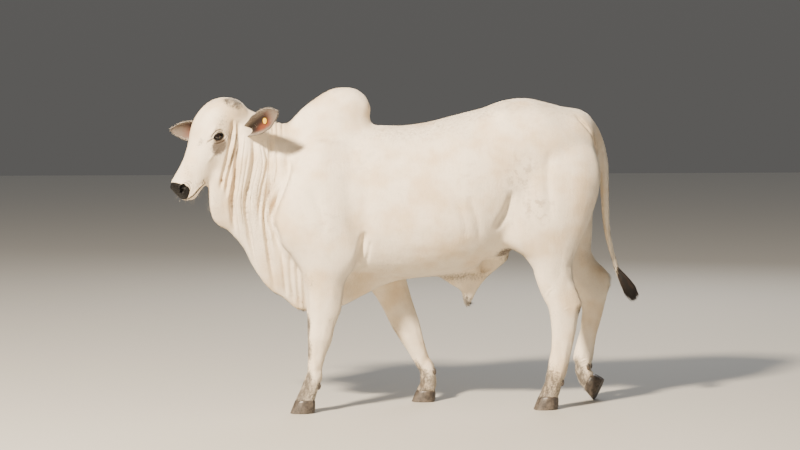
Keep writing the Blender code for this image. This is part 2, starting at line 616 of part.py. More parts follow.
def ear_root_rings(side):
    """Rings of the fleshy root that each ear grows from."""
    base, axis, mouth = ear_frame(side)
    across = axis.cross(mouth)
    rings = []
    for along, radius in EAR_ROOT:
        centre = base + along * axis
        ring = []
        for i in range(EAR_ROOT_SIDES):
            angle = 2 * math.pi * i / EAR_ROOT_SIDES
            ring.append(centre + radius * (math.cos(angle) * mouth + math.sin(angle) * across))
        rings.append(ring)
    return rings


def apply_modifiers(obj):
    """Leaves the object with the mesh that its modifiers make."""
    graph = bpy.context.evaluated_depsgraph_get()
    mesh = bpy.data.meshes.new_from_object(obj.evaluated_get(graph))
    obj.modifiers.clear()
    old = obj.data
    obj.data = mesh
    bpy.data.meshes.remove(old)


def joined(name, objects, group):
    """One object that holds the meshes of several, which are then removed."""
    shape = bmesh.new()
    for obj in objects:
        shape.from_mesh(obj.data)
        bpy.data.objects.remove(obj)
    mesh = bpy.data.meshes.new(name)
    shape.to_mesh(mesh)
    shape.free()
    made = bpy.data.objects.new(name, mesh)
    group.objects.link(made)
    return made


def remeshed(obj, voxel, smoothing):
    remesh = obj.modifiers.new("fuse", "REMESH")
    remesh.mode = "VOXEL"
    remesh.voxel_size = voxel
    smooth = obj.modifiers.new("soften", "SMOOTH")
    smooth.factor = 0.5
    smooth.iterations = smoothing
    apply_modifiers(obj)


def boolean(obj, other, operation):
    """Cuts or joins obj with other, leaving other as it is."""
    cut = obj.modifiers.new("cut", "BOOLEAN")
    cut.operation = operation
    cut.solver = "MANIFOLD"
    cut.object = other
    apply_modifiers(obj)


def copy_of(obj, name, group):
    made = bpy.data.objects.new(name, obj.data.copy())
    group.objects.link(made)
    return made


def keep_largest(obj):
    """Drops every closed surface of the object but the largest."""
    shape = bmesh.new()
    shape.from_mesh(obj.data)
    bmesh.ops.remove_doubles(shape, verts=shape.verts, dist=1e-6)
    left = set(shape.verts)
    islands = []
    while left:
        island = {left.pop()}
        edge_of_it = list(island)
        while edge_of_it:
            vertex = edge_of_it.pop()
            for edge in vertex.link_edges:
                other = edge.other_vert(vertex)
                if other in left:
                    left.remove(other)
                    island.add(other)
                    edge_of_it.append(other)
        islands.append(island)
    largest = max(islands, key=len)
    dropped = [vertex for island in islands if island is not largest for vertex in island]
    bmesh.ops.delete(shape, geom=dropped, context="VERTS")
    shape.to_mesh(obj.data)
    shape.free()


def vertex_arrays(mesh):
    """The vertices' places and normals as arrays, in the sizes' own frame."""
    points = np.empty(len(mesh.vertices) * 3)
    mesh.vertices.foreach_get("co", points)
    normals = np.empty(len(mesh.vertices) * 3)
    mesh.vertices.foreach_get("normal", normals)
    return points.reshape(-1, 3), normals.reshape(-1, 3)


def put_vertices(mesh, points):
    mesh.vertices.foreach_set("co", points.ravel())
    mesh.update()


def falloff(distance):
    """One in the middle and zero from a distance of one, with a soft rim."""
    return np.clip(1 - distance**2, 0, None) ** 2


def swell(points, normals, centre, radii, amount):
    """Pushes the skin out (or in, where amount is negative) around a centre."""
    away = np.linalg.norm((points - np.array(centre)) / np.array(radii), axis=1)
    points += normals * (amount * falloff(away))[:, None]


def path_distance(flat, path):
    """For each point of a plane: how far it is from a curve, and how far along the curve that is."""
    curve = np.array(between(path, 8))
    best = np.full(len(flat), np.inf)
    where = np.zeros(len(flat))
    for i in range(len(curve) - 1):
        step = curve[i + 1] - curve[i]
        t = np.clip(((flat - curve[i]) @ step) / (step @ step), 0, 1)
        away = np.linalg.norm(flat - curve[i] - t[:, None] * step, axis=1)
        nearer = away < best
        best[nearer] = away[nearer]
        where[nearer] = (i + t[nearer]) / (len(curve) - 1)
    return best, where


def fold(points, normals, path, width, depth, side):
    """A soft groove along a path drawn in side view, with a low ridge on each side of it."""
    low = np.min(np.array(path), axis=0) - 4 * width
    high = np.max(np.array(path), axis=0) + 4 * width
    facing = np.clip(normals[:, 1] * side * 2, 0, 1)
    inside = (points[:, 0] > low[0]) & (points[:, 0] < high[0]) & (points[:, 2] > low[1])
    inside &= (points[:, 2] < high[1]) & (facing > 0)
    away, where = path_distance(points[inside][:, [0, 2]], path)
    reach = away / width
    shape = (1 - 0.9 * reach**2) * np.exp(-(reach**2))
    ends = np.clip(np.minimum(where, 1 - where) * FOLD_END, 0, 1)
    points[inside] -= normals[inside] * (depth * shape * ends * facing[inside])[:, None]


def shape_body(flesh):
    """Muscles, bones and folds of the trunk, neck and legs."""
    points, normals = vertex_arrays(flesh.data)
    for side in (-1, 1):
        for x, y, z, rx, ry, rz, amount in BODY_SWELLS:
            swell(points, normals, (x, side * y, z), (rx, ry, rz), amount)
        for path, width, depth in NECK_FOLDS + BODY_FOLDS:
            fold(points, normals, path, width, depth, side)
    put_vertices(flesh.data, points)


def to_head(points):
    turn = np.array(head_frame().to_3x3())
    return (points - np.array(POLL)) @ turn


def from_head(points):
    turn = np.array(head_frame().to_3x3())
    return points @ turn.T + np.array(POLL)


def refine_head(flesh):
    """Halves the edges around the head, so that its small forms have vertices to stand on."""
    shape = bmesh.new()
    shape.from_mesh(flesh.data)
    bmesh.ops.triangulate(shape, faces=shape.faces)
    shape.verts.ensure_lookup_table()
    places = to_head(np.array([vertex.co for vertex in shape.verts]))
    near = (places[:, 0] > -0.10) & (places[:, 0] < 0.53) & (np.abs(places[:, 1]) < 0.15)
    near &= places[:, 2] > -0.16 - 0.3 * np.clip(places[:, 0], 0, 0.1)
    edges = [edge for edge in shape.edges if near[edge.verts[0].index] and near[edge.verts[1].index]]
    bmesh.ops.subdivide_edges(shape, edges=edges, cuts=1)
    bmesh.ops.triangulate(shape, faces=shape.faces)
    shape.to_mesh(flesh.data)
    shape.free()


def shape_lids(head, side):
    """Draws the skin over the eyeball, ready for the opening to be cut."""
    centre = np.array((EYE[0], side * EYE[1], EYE[2]))
    away = head - centre
    out = away[:, 1] * side
    flat = np.hypot(away[:, 0], away[:, 2])
    near = (flat < LID_SPREAD) & (out > -EYE_RADIUS)
    eyeball = np.sqrt(np.clip(EYE_RADIUS**2 - flat**2, 0, None))
    blend = falloff(flat / LID_SPREAD)
    covered = np.maximum(out, eyeball + LID_THICKNESS) * blend + out * (1 - blend)
    head[near, 1] = centre[1] + side * covered[near]


def shape_head(flesh):
    """Brows, cheeks, lids, the rims of the nostrils and the lips."""
    points, normals = vertex_arrays(flesh.data)
    head = to_head(points)
    turned = normals @ np.array(head_frame().to_3x3())
    near = (head[:, 0] > -0.12) & (head[:, 0] < 0.54) & (np.abs(head[:, 1]) < 0.17) & (head[:, 2] > HEAD_BACK)
    head, turned = head[near], turned[near]
    for side in (-1, 1):
        for s, y, z, rs, ry, rz, amount in HEAD_SWELLS + [NOSTRIL_RIM]:
            swell(head, turned, (s, side * y, z), (rs, ry, rz), amount)
        shape_lids(head, side)
    away, where = path_distance(head[:, [0, 2]], MOUTH_LINE)
    ends = np.clip((1 - where) * FOLD_END, 0, 1)
    amount, distance, width = LIP
    lips = amount * np.exp(-(((away - distance) / width) ** 2)) * ends
    head += turned * lips[:, None]
    points[near] = from_head(head)
    put_vertices(flesh.data, points)


def mouth_path(flesh):
    """Points on the muzzle's skin from one corner of the mouth round the front to the other."""
    tree = BVHTree.FromPolygons([vertex.co for vertex in flesh.data.vertices],
                                [face.vertices for face in flesh.data.polygons])
    line = np.array(MOUTH_LINE)[::-1]
    frame = head_frame()
    path = []
    for i in range(-MOUTH_STEPS, MOUTH_STEPS + 1):
        share = abs(i) / MOUTH_STEPS
        side = -1 if i < 0 else 1
        angle = math.pi / 2 * min(share / MOUTH_FRONT_SHARE, 1)
        back = max(share - MOUTH_FRONT_SHARE, 0) / (1 - MOUTH_FRONT_SHARE)
        start = MOUTH_CENTRE - back * (MOUTH_CENTRE - MOUTH_LINE[-1][0])
        height = float(np.interp(start + MOUTH_RADIUS * math.cos(angle), line[:, 0], line[:, 1]))
        way = Vector((math.cos(angle), side * math.sin(angle), 0))
        origin = frame @ (Vector((start, 0, height)) + 3 * MOUTH_RADIUS * way)
        out = frame.to_3x3() @ way
        hit = tree.ray_cast(origin, -out)[0]
        path.append((hit, out))
    return path


def mouth_cutter(flesh, group):
    """A thin wedge that follows the line of the mouth, to be cut out of the muzzle."""
    brow = head_frame().to_3x3() @ Vector((0, 0, 1))
    path = mouth_path(flesh)
    rings = []
    for i, (hit, out) in enumerate(path):
        share = min(1.0, min(i, len(path) - 1 - i) / 3)
        wide = MOUTH_WIDTH * (0.4 + 0.6 * share) * brow
        narrow = MOUTH_WIDTH / 8 * brow
        outer = hit + MOUTH_WIDTH * out
        inner = hit - MOUTH_DEPTH * (0.3 + 0.7 * share) * out
        rings.append([outer + wide, outer - wide, inner - narrow, inner + narrow])
    cutter = loft("mouth", rings)
    group.objects.link(cutter)
    return cutter


def lid_cutter(side, group):
    """The almond between the lids, as a prism that runs out from the eyeball."""
    outline = []
    for i in range(9):
        x = -1 + i / 4
        outline.append((x * LID_LENGTH, LID_UPPER * (1 - x * x)))
    for i in range(7):
        x = 0.75 - i / 4
        outline.append((x * LID_LENGTH, -LID_LOWER * (1 - x * x)))
    rings = []
    for out in LID_OPENING_DEPTH:
        ring = []
        for along, up in outline:
            s = EYE[0] + along * math.cos(EYE_TILT) - up * math.sin(EYE_TILT)
            z = EYE[2] + along * math.sin(EYE_TILT) + up * math.cos(EYE_TILT)
            ring.append(in_head(s, side * (EYE[1] + out), z))
        rings.append(ring)
    cutter = loft("opening", rings)
    group.objects.link(cutter)
    return cutter


def open_face(flesh, group):
    """Cuts the eye sockets, the openings of the lids, the nostrils and the line of the mouth."""
    cutters = [mouth_cutter(flesh, group)]
    turn = head_frame().to_3x3().to_4x4()
    for side in (-1, 1):
        place = in_head(EYE[0], side * EYE[1], EYE[2])
        cutters.append(ball("socket", place, [EYE_RADIUS + GAP] * 3, Matrix.Identity(4), 3, group))
        cutters.append(lid_cutter(side, group))
        for (s, y, z), size in NOSTRIL_BALLS:
            cutters.append(ball("nostril", in_head(s, side * y, z), size, turn, 2, group))
    for cutter in cutters:
        boolean(flesh, cutter, "DIFFERENCE")
        bpy.data.objects.remove(cutter)


def thin(flesh, region, triangles):
    """Collapses edges in one region of the flesh, picked by a function, until it has that many triangles."""
    points, _ = vertex_arrays(flesh.data)
    chosen = region(points)
    group = flesh.vertex_groups.new(name="thinned")
    group.add([int(i) for i in np.flatnonzero(chosen)], 1.0, "REPLACE")
    faces = np.empty(len(flesh.data.loop_triangles) * 3, int)
    flesh.data.loop_triangles.foreach_get("vertices", faces)
    inside = int(chosen[faces.reshape(-1, 3)].all(axis=1).sum())
    total = len(flesh.data.loop_triangles)
    decimate = flesh.modifiers.new("thin", "DECIMATE")
    decimate.vertex_group = "thinned"
    decimate.vertex_group_factor = 1.0
    decimate.ratio = (total - inside + triangles) / total
    apply_modifiers(flesh)
    flesh.vertex_groups.clear()


def block(name, planes, grow, group):
    """A closed convex block: a big box cut back by planes, each a point and the way out of the block."""
    shape = bmesh.new()
    bmesh.ops.create_cube(shape, size=BLOCK_SIZE)
    for point, out in planes:
        out = out.normalized()
        geometry = shape.verts[:] + shape.edges[:] + shape.faces[:]
        place = point + grow * out
        bmesh.ops.bisect_plane(shape, geom=geometry, plane_co=place, plane_no=out, clear_outer=True)
        rim = [edge for edge in shape.edges if edge.is_boundary]
        bmesh.ops.edgeloop_fill(shape, edges=rim)
    bmesh.ops.recalc_face_normals(shape, faces=shape.faces)
    mesh = bpy.data.meshes.new(name)
    shape.to_mesh(mesh)
    shape.free()
    made = bpy.data.objects.new(name, mesh)
    group.objects.link(made)
    return made


def prism(outline, low, high, frame=Matrix.Identity(4)):
    """The planes of a prism along y: its convex outline, drawn in x and z, and its ends."""
    turn = frame.to_3x3()
    middle = Vector((sum(x for x, z in outline), 0, sum(z for x, z in outline))) / len(outline)
    planes = []
    for (x1, z1), (x2, z2) in zip(outline, outline[1:] + outline[:1]):
        point = Vector((x1, 0, z1))
        out = Vector((z2 - z1, 0, x1 - x2))
        if (point - middle).dot(out) < 0:
            out = -out
        planes.append((frame @ point, turn @ out))
    planes.append((frame @ Vector((0, low, 0)), turn @ Vector((0, -1, 0))))
    planes.append((frame @ Vector((0, high, 0)), turn @ Vector((0, 1, 0))))
    return planes


def take(flesh, name, planes, group):
    """Parts one node from the flesh, with a thin gap left where they touched."""
    node = copy_of(flesh, name, group)
    inner = block("inner", planes, 0, group)
    boolean(node, inner, "INTERSECT")
    bpy.data.objects.remove(inner)
    outer = block("outer", planes, GAP, group)
    boolean(flesh, outer, "DIFFERENCE")
    bpy.data.objects.remove(outer)
    keep_largest(node)
    return node


def foot_side(foot):
    return -1 if foot.startswith("left") else 1


def foot_turn(foot, down):
    """How a foot is turned: its toe down by an angle in degrees, and out by the foot's own angle."""
    yaw = math.radians(FEET[foot][3]) * -foot_side(foot)
    return Matrix.Rotation(yaw, 4, "Z") @ Matrix.Rotation(math.radians(-down), 4, "Y")


def pastern_sections(foot):
    """The places and turns of a pastern's sections, followed down from the fetlock."""
    fetlock, down_at_fetlock, down_at_coronet, _ = FEET[foot]
    sections = []
    place = Vector(fetlock)
    last = 0.0
    for way, front, rear, half in between(PASTERN):
        share = min(max(way, 0.0), 1.0)
        turn = foot_turn(foot, down_at_fetlock + (down_at_coronet - down_at_fetlock) * share)
        place = place + turn @ (FETLOCK_TO_CORONET * (way - last))
        last = way
        sections.append((way, Matrix.Translation(place) @ turn, front, rear, half))
    return sections


def pastern_rings(foot, sides=PASTERN_SIDES):
    rings = []
    for way, frame, front, rear, half in pastern_sections(foot):
        ring = []
        for i in range(sides):
            angle = 2 * math.pi * i / sides
            x = (front + rear) / 2 - (rear - front) / 2 * math.cos(angle)
            ring.append(frame @ Vector((x, half * bent(math.sin(angle), 2.3), 0)))
        rings.append(ring)
    return rings


def coronet_frame(foot):
    """The frame in which a foot's claws are drawn: its origin is in the middle of the coronet."""
    return min(pastern_sections(foot), key=lambda section: abs(section[0] - 1.0))[1]


def claw_ring(front, rear, half, z):
    """A D-shaped section of one claw: flat towards the cleft and round outside, with its toe to -x."""
    middle = (front + rear) / 2
    reach = (rear - front) / 2
    ring = []
    for i in range(CLAW_POINTS):
        angle = math.pi * i / (CLAW_POINTS - 1)
        width = (half - CLEFT) * max(math.sin(angle), 0) ** 0.75
        ring.append(Vector((middle - reach * math.cos(angle), CLEFT + width, z)))
    for share in (0.25, 0.5, 0.75):
        ring.append(Vector((rear - 2 * reach * share, CLEFT, z)))
    return ring


def claws(foot, group):
    """The two claws of a foot, each with a small flat to rest on at z = 0."""
    frame = coronet_frame(foot)
    ground = block("ground", [(Vector((0, 0, 0)), Vector((0, 0, 1)))], 0, group)
    made = []
    for name, side in (("outer", foot_side(foot)), ("inner", -foot_side(foot))):
        rings = []
        for z, front, rear, half in CLAW:
            ring = claw_ring(front, rear, half, z)
            rings.append([frame @ Vector((point.x, side * point.y, point.z)) for point in ring])
        claw = loft(f"{foot}_claw_{name}", rings)
        group.objects.link(claw)
        boolean(claw, ground, "DIFFERENCE")
        made.append(claw)
    bpy.data.objects.remove(ground)
    return made


def ball(name, centre, size, turn, rings, group):
    """An ellipsoid with its own turn."""
    shape = bmesh.new()
    bmesh.ops.create_icosphere(shape, subdivisions=rings, radius=1.0)
    scale = Matrix.Diagonal((*size, 1.0))
    bmesh.ops.transform(shape, matrix=Matrix.Translation(centre) @ turn @ scale, verts=shape.verts)
    mesh = bpy.data.meshes.new(name)
    shape.to_mesh(mesh)
    shape.free()
    made = bpy.data.objects.new(name, mesh)
    group.objects.link(made)
    return made


def dewclaws(foot, grown_flesh, group):
    """The two small horns behind the fetlock."""
    sections = pastern_sections(foot)
    frame = min(sections, key=lambda section: abs(section[0] - 0.2))[1]
    made = []
    for name, side in (("outer", foot_side(foot)), ("inner", -foot_side(foot))):
        back, sideways, up = DEWCLAW
        centre = frame @ Vector((back, side * sideways, up))
        node = ball(f"{foot}_dewclaw_{name}", centre, DEWCLAW_SIZE, frame.to_3x3().to_4x4(), 2, group)
        boolean(node, grown_flesh, "DIFFERENCE")
        keep_largest(node)
        made.append(node)
    return made


def level_axes():
    """The head's level axes: forward, to its left and up."""
    heading = Vector((-math.cos(HEAD_TURN), -math.sin(HEAD_TURN), 0))
    up = Vector((0, 0, 1))
    return heading, up.cross(heading), up


def ear_frame(side):
    """Where an ear grows from the head, the way it points and the way its cup opens."""
    heading, left, up = level_axes()
    forward, leftward, upward = EAR_WAY[side]
    axis = (forward * heading + leftward * left + upward * up).normalized()
    mouth = (heading - 0.15 * up)
    mouth = (mouth - mouth.dot(axis) * axis).normalized()
    sign = 1 if side == "left" else -1
    return in_head(EAR_BASE[0], sign * EAR_BASE[1], EAR_BASE[2]), axis, mouth


def ear(side, grown_flesh, group):
    base, axis, mouth = ear_frame(side)
    across = mouth.cross(axis)
    if across.z < 0:
        across = -across
    rings = []
    for along, half, cup in between(EAR, 2):
        shares = [-1 + 2 * i / (EAR_POINTS_ACROSS - 1) for i in range(EAR_POINTS_ACROSS)]
        ring = []
        for share in shares:
            ring.append((share, 0.0))
        for share in reversed(shares):
            ring.append((share, 1.0))
        thickness = min(EAR_THICKNESS, 0.45 * half)
        placed = []
        for share, inner in ring:
            length = math.hypot(2 * cup * share, half)
            y = half * share - inner * thickness * 2 * cup * share / length
            z = cup * (share**2 - 0.5) + inner * thickness * half / length
            placed.append(base + along * axis + y * across + z * mouth)
        rings.append(placed)
    node = loft(f"ear_{side}", rings)
    group.objects.link(node)
    boolean(node, grown_flesh, "DIFFERENCE")
    keep_largest(node)
    return node


def rod(name, start, way, radius, length, sides, group):
    """A plain cylinder."""
    shape = bmesh.new()
    bmesh.ops.create_cone(shape, cap_ends=True, segments=sides, radius1=radius, radius2=radius, depth=length)
    turn = way.to_track_quat("Z", "Y").to_matrix().to_4x4()
    bmesh.ops.transform(shape, matrix=Matrix.Translation(start + way * length / 2) @ turn, verts=shape.verts)
    mesh = bpy.data.meshes.new(name)
    shape.to_mesh(mesh)
    shape.free()
    made = bpy.data.objects.new(name, mesh)
    group.objects.link(made)
    return made


def ear_tag(ear_node, group):
    """Two round buttons on a stem through the left ear."""
    base, axis, mouth = ear_frame("left")
    table = np.array(EAR)
    cup = float(np.interp(TAG_ALONG, table[:, 0], table[:, 2]))
    place = base + TAG_ALONG * axis
    behind = -cup / 2 - TAG_STAND_OFF - TAG_THICKNESS
    ahead = -cup / 2 + EAR_THICKNESS + TAG_STAND_OFF
    stem = rod("stem", place + (behind + 0.001) * mouth, mouth, TAG_STEM_RADIUS, ahead - behind, 12, group)
    front = rod("front", place + ahead * mouth, mouth, TAG_RADIUS, TAG_THICKNESS, 24, group)
    back = rod("back", place + behind * mouth, mouth, TAG_RADIUS * 0.9, TAG_THICKNESS, 24, group)
    hole = rod("hole", place + behind * mouth, mouth, TAG_STEM_RADIUS + GAP, ahead - behind, 12, group)
    boolean(ear_node, hole, "DIFFERENCE")
    tag = copy_of(front, "ear_tag", group)
    boolean(tag, stem, "UNION")
    boolean(tag, back, "UNION")
    for part in (stem, front, back, hole):
        bpy.data.objects.remove(part)
    return tag


def lock_rings(root, tip, width, thickness, bend, turn, steps=4):
    """A flat hair lock that tapers to its tip and bends on the way."""
    way = tip - root
    across = way.cross(Vector((0, 1, 0))).normalized()
    across = Matrix.Rotation(turn, 3, way.normalized()) @ across
    out = way.normalized().cross(across)
    rings = []
    for i in range(steps + 1):
        t = i / steps
        centre = root + way * t + bend * math.sin(math.pi * t) * out
        wide = width * (0.65 + 0.7 * t - 1.2 * t * t) + 0.0006
        thick = thickness * (1 - 0.75 * t)
        ring = []
        for k in range(LOCK_SIDES):
            angle = 2 * math.pi * k / LOCK_SIDES
            ring.append(centre + wide * math.cos(angle) * across + thick * math.sin(angle) * out)
        rings.append(ring)
    return rings


def tail_switch(group):
    """The tuft at the end of the tail: locks fused around a core that reaches half way down."""
    chance = random.Random(7)
    core_rows = [(0.0, 0.0115), (0.12, 0.013), (0.30, 0.020), (0.45, 0.016), (0.55, 0.006)]
    side = Vector((0, 1, 0))
    out = SWITCH_WAY.cross(side).normalized()
    rings = []
    for share, radius in core_rows:
        ring = []
        for k in range(12):
            angle = 2 * math.pi * k / 12
            centre = SWITCH_ROOT + SWITCH_WAY * share
            ring.append(centre + radius * (math.cos(angle) * out + math.sin(angle) * side))
        rings.append(ring)
    switch = loft("tail_switch", rings)
    group.objects.link(switch)
    locks = collection("switch_locks")
    for i in range(SWITCH_LOCKS):
        angle = 2 * math.pi * (i * 0.618)
        ring_share = math.sqrt((i + 0.5) / SWITCH_LOCKS)
        spread = out * math.cos(angle) + side * math.sin(angle)
        start = 0.10 + 0.30 * chance.random()
        root = SWITCH_ROOT + SWITCH_WAY * start + spread * 0.008 * ring_share
        reach = 1.0 - 0.22 * ring_share + 0.12 * chance.random()
        tip = SWITCH_ROOT + SWITCH_WAY * reach + spread * SWITCH_SPREAD * ring_share
        bend = chance.uniform(-0.006, 0.006) + 0.006
        lock = loft(f"lock_{i}", lock_rings(root, tip, LOCK_WIDTH, LOCK_THICKNESS, bend, angle + 1.2))
        locks.objects.link(lock)
    fuse = switch.modifiers.new("fuse", "BOOLEAN")
    fuse.operation = "UNION"
    fuse.operand_type = "COLLECTION"
    fuse.solver = "EXACT"
    fuse.collection = locks
    apply_modifiers(switch)
    for lock in list(locks.objects):
        bpy.data.objects.remove(lock)
    bpy.data.collections.remove(locks)
    keep_largest(switch)
    top = block("top", [(Vector((0, 0, TAIL_END - GAP)), Vector((0, 0, 1)))], 0, group)
    boolean(switch, top, "INTERSECT")
    bpy.data.objects.remove(top)
    keep_largest(switch)
    return switch


def below_thigh_line(side):
    """Planes of the thigh: under a slant that rises to the rear and outwards, on one side of the middle."""
    point = Vector((0.73, 0.0, THIGH_CUT_MIDDLE))
    out = Vector((-THIGH_CUT_REARWARD, -side * THIGH_CUT_OUTWARD, 1.0))
    front = (Vector((THIGH_CUT_FRONT, 0, 0)), Vector((-1, 0, 0)))
    middle = (Vector((0, 0, 0)), Vector((0, -side, 0)))
    return [(point, out), front, middle]


def leg_box(side, top, bottom, low, high):
    """Planes of a leg's piece between two heights and two places along x, on one side."""
    return [
        (Vector((0, 0, top)), Vector((0, 0, 1))),
        (Vector((0, 0, bottom)), Vector((0, 0, -1))),
        (Vector((low, 0, 0)), Vector((-1, 0, 0))),
        (Vector((high, 0, 0)), Vector((1, 0, 0))),
        (Vector((0, side * LEG_INNER, 0)), Vector((0, -side, 0))),
    ]


def part_flesh(flesh, group):
    """Cuts the flesh into its named parts, from the ends of the body inwards."""
    parts = {}

    def cut(name, planes):
        parts[name] = take(flesh, name, planes, group)

    frame = head_frame()
    cut("nose", prism(NOSE_OUTLINE, -0.2, 0.2, frame))
    cut("head", prism(HEAD_OUTLINE, -0.3, 0.3, frame))
    cut("tail_upper", prism(TAIL_UPPER_OUTLINE, -0.06, 0.06))
    cut("tail_middle", prism([(1.0, 1.17), (1.4, 1.17), (1.4, 0.94), (1.0, 0.94)], -0.06, 0.06))
    cut("tail_lower", prism([(1.0, 0.94), (1.4, 0.94), (1.4, TAIL_END), (1.0, TAIL_END)], -0.06, 0.06))
    cut("sheath", prism(SHEATH_OUTLINE, -0.09, 0.09))
    cut("scrotum", prism([(0.55, SCROTUM_TOP), (0.95, SCROTUM_TOP), (0.95, 0.5), (0.55, 0.5)], -0.072, 0.072))
    for foot in FEET:
        side = foot_side(foot)
        coronet = coronet_frame(foot)
        sole_way = (coronet.to_translation(), coronet.to_3x3() @ Vector((0, 0, -1)))
        low, high = LEG_SPAN[foot]
        joint, top = LEG_CUTS[foot]
        cut(f"{foot}_shank", leg_box(side, joint, -0.5, low, high) + [sole_way])
        if "fore" in foot:
            outline = [(low, ARM_TOP[0]), (low, joint), (high, joint), (high, ARM_TOP[1])]
            cut(f"{foot}_arm", prism(outline, *sorted((side * ARM_INNER, side * 0.5))))
        else:
            cut(f"{foot}_gaskin", leg_box(side, top, joint, low, high))
    for foot in ("left_hind", "right_hind"):
        side = foot_side(foot)
        stifle = (Vector((0, 0, LEG_CUTS[foot][1])), Vector((0, 0, -1)))
        cut(f"{foot}_thigh", below_thigh_line(side) + [stifle])
    cut("dewlap", prism(DEWLAP_OUTLINE, -0.35, 0.35))
    cut("brisket", prism(BRISKET_OUTLINE, -0.1037, 0.1037))
    cut("hump", prism([(-0.565, 1.428), (-0.10, 1.428), (-0.10, 1.8), (-0.70, 1.8)], -0.3, 0.3))
    cut("neck", prism([(-1.3, 1.8), (-0.48, 1.8), (-0.665, 0.93), (-1.3, 0.93)], -0.4, 0.4))
    cut("chest", prism([(-1.3, 1.8), (-0.17, 1.8), (-0.17, 0.3), (-1.3, 0.3)], -0.6, 0.6))
    cut("rump", prism([(0.43, 1.8), (1.5, 1.8), (1.5, 0.6), (0.43, 0.6)], -0.6, 0.6))
    keep_largest(flesh)
    flesh.name = "barrel"
    parts["barrel"] = flesh
    return parts


def grown_copy(obj, name, group):
    """A copy with its skin pushed out by the gap, used to cut what touches it."""
    made = copy_of(obj, name, group)
    points, normals = vertex_arrays(made.data)
    put_vertices(made.data, points + GAP * normals)
    return made


def in_head_region(points):
    head = to_head(points)
    return (head[:, 0] > -0.09) & (head[:, 0] < 0.54) & (np.abs(head[:, 1]) < 0.16) & (head[:, 2] > HEAD_BACK)


def in_neck_region(points):
    return ~in_head_region(points) & (points[:, 0] < -0.54) & (points[:, 2] > 0.50)


def elsewhere(points):
    return ~in_head_region(points) & ~in_neck_region(points)


def main():
    clear_scene()
    group = collection("nelore_bull")
    flesh = joined("flesh", flesh_forms(), group)
    remeshed(flesh, VOXEL, SMOOTHING)
    shape_body(flesh)
    refine_head(flesh)
    shape_head(flesh)
    thin(flesh, in_head_region, HEAD_TRIANGLES)
    thin(flesh, in_neck_region, NECK_TRIANGLES)
    thin(flesh, elsewhere, BODY_TRIANGLES)
    grown = grown_copy(flesh, "grown", group)
    nodes = {}
    for side in ("left", "right"):
        nodes[f"ear_{side}"] = ear(side, grown, group)
    nodes["ear_tag"] = ear_tag(nodes["ear_left"], group)
    for foot in FEET:
        for node in dewclaws(foot, grown, group) + claws(foot, group):
            nodes[node.name] = node
    bpy.data.objects.remove(grown)
    open_face(flesh, group)
    for side, sign in (("left", 1), ("right", -1)):
        place = in_head(EYE[0], sign * EYE[1], EYE[2])
        nodes[f"eye_{side}"] = ball(f"eye_{side}", place, [EYE_RADIUS] * 3, Matrix.Identity(4), 3, group)
    nodes.update(part_flesh(flesh, group))
    nodes["tail_switch"] = tail_switch(group)
    looks = {name: material(name, colour, rough) for name, (colour, rough) in LOOKS.items()}
    for name, node in nodes.items():
        node.data.transform(Matrix.Translation(-CENTRE))
        node.data.materials.clear()
        node.data.materials.append(looks[look_of(name)])


if __name__ == "__main__":
    main()
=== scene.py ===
# %% [markdown]
# This lesson dresses a polled Nelore bull, life size, in a slow walk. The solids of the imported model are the
# fixed frame: they say where everything is, and nothing here moves or resizes them. What a visitor of a
# museum would look at is made here: one skin over all the flesh, with its folds and lids, a short coat,
# glossy eyes, velvety ears, hooves, a tail switch and a small ear tag.
# The bull faces -X, its left side is at -Y and +Z is up. All sizes are in metres.

# %% Load the frame
import math

import bmesh
import bpy
import numpy as np
from mathutils import Matrix, Vector
from mathutils.bvhtree import BVHTree
from mathutils.geometry import barycentric_transform
from mathutils.kdtree import KDTree


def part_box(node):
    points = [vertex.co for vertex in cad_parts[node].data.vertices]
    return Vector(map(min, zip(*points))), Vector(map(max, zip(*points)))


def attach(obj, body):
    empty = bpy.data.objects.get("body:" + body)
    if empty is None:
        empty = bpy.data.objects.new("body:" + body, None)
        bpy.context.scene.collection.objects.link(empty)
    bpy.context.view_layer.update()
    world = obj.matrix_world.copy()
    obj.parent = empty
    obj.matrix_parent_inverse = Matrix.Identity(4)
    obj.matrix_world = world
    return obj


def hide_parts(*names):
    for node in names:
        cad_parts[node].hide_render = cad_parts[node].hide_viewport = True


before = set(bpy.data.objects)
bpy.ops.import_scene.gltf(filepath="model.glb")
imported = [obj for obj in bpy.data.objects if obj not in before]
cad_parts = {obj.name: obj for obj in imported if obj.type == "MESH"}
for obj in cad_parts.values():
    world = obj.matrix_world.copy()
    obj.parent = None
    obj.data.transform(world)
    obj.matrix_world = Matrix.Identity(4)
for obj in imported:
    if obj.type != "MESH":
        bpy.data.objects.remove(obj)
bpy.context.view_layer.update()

# %% [markdown]
# Blender's operators act on all that is selected, so a small helper first deselects everything. Two more
# read and write all the vertices of a mesh at once, because the skin is shaped by formulas that work on
# arrays, as a sculptor's brushes do. A search tree tells where a surface is nearest.

# %% Helpers for objects and vertices
MM = 0.001


def only(obj):
    """Makes obj the one selected and active object."""
    bpy.ops.object.select_all(action="DESELECT")
    obj.select_set(True)
    bpy.context.view_layer.objects.active = obj
    return obj


def smooth_shading(obj):
    """Shades an object as if its faces had no edges."""
    only(obj)
    bpy.ops.object.shade_smooth()


def in_edit_mode(obj, operator, **settings):
    """Runs an operator of edit mode on all of an object."""
    only(obj)
    bpy.ops.object.mode_set(mode="EDIT")
    bpy.ops.mesh.select_all(action="SELECT")
    operator(**settings)
    bpy.ops.object.mode_set(mode="OBJECT")


def apply_modifiers(obj):
    only(obj)
    for modifier in list(obj.modifiers):
        bpy.ops.object.modifier_apply(modifier=modifier.name)


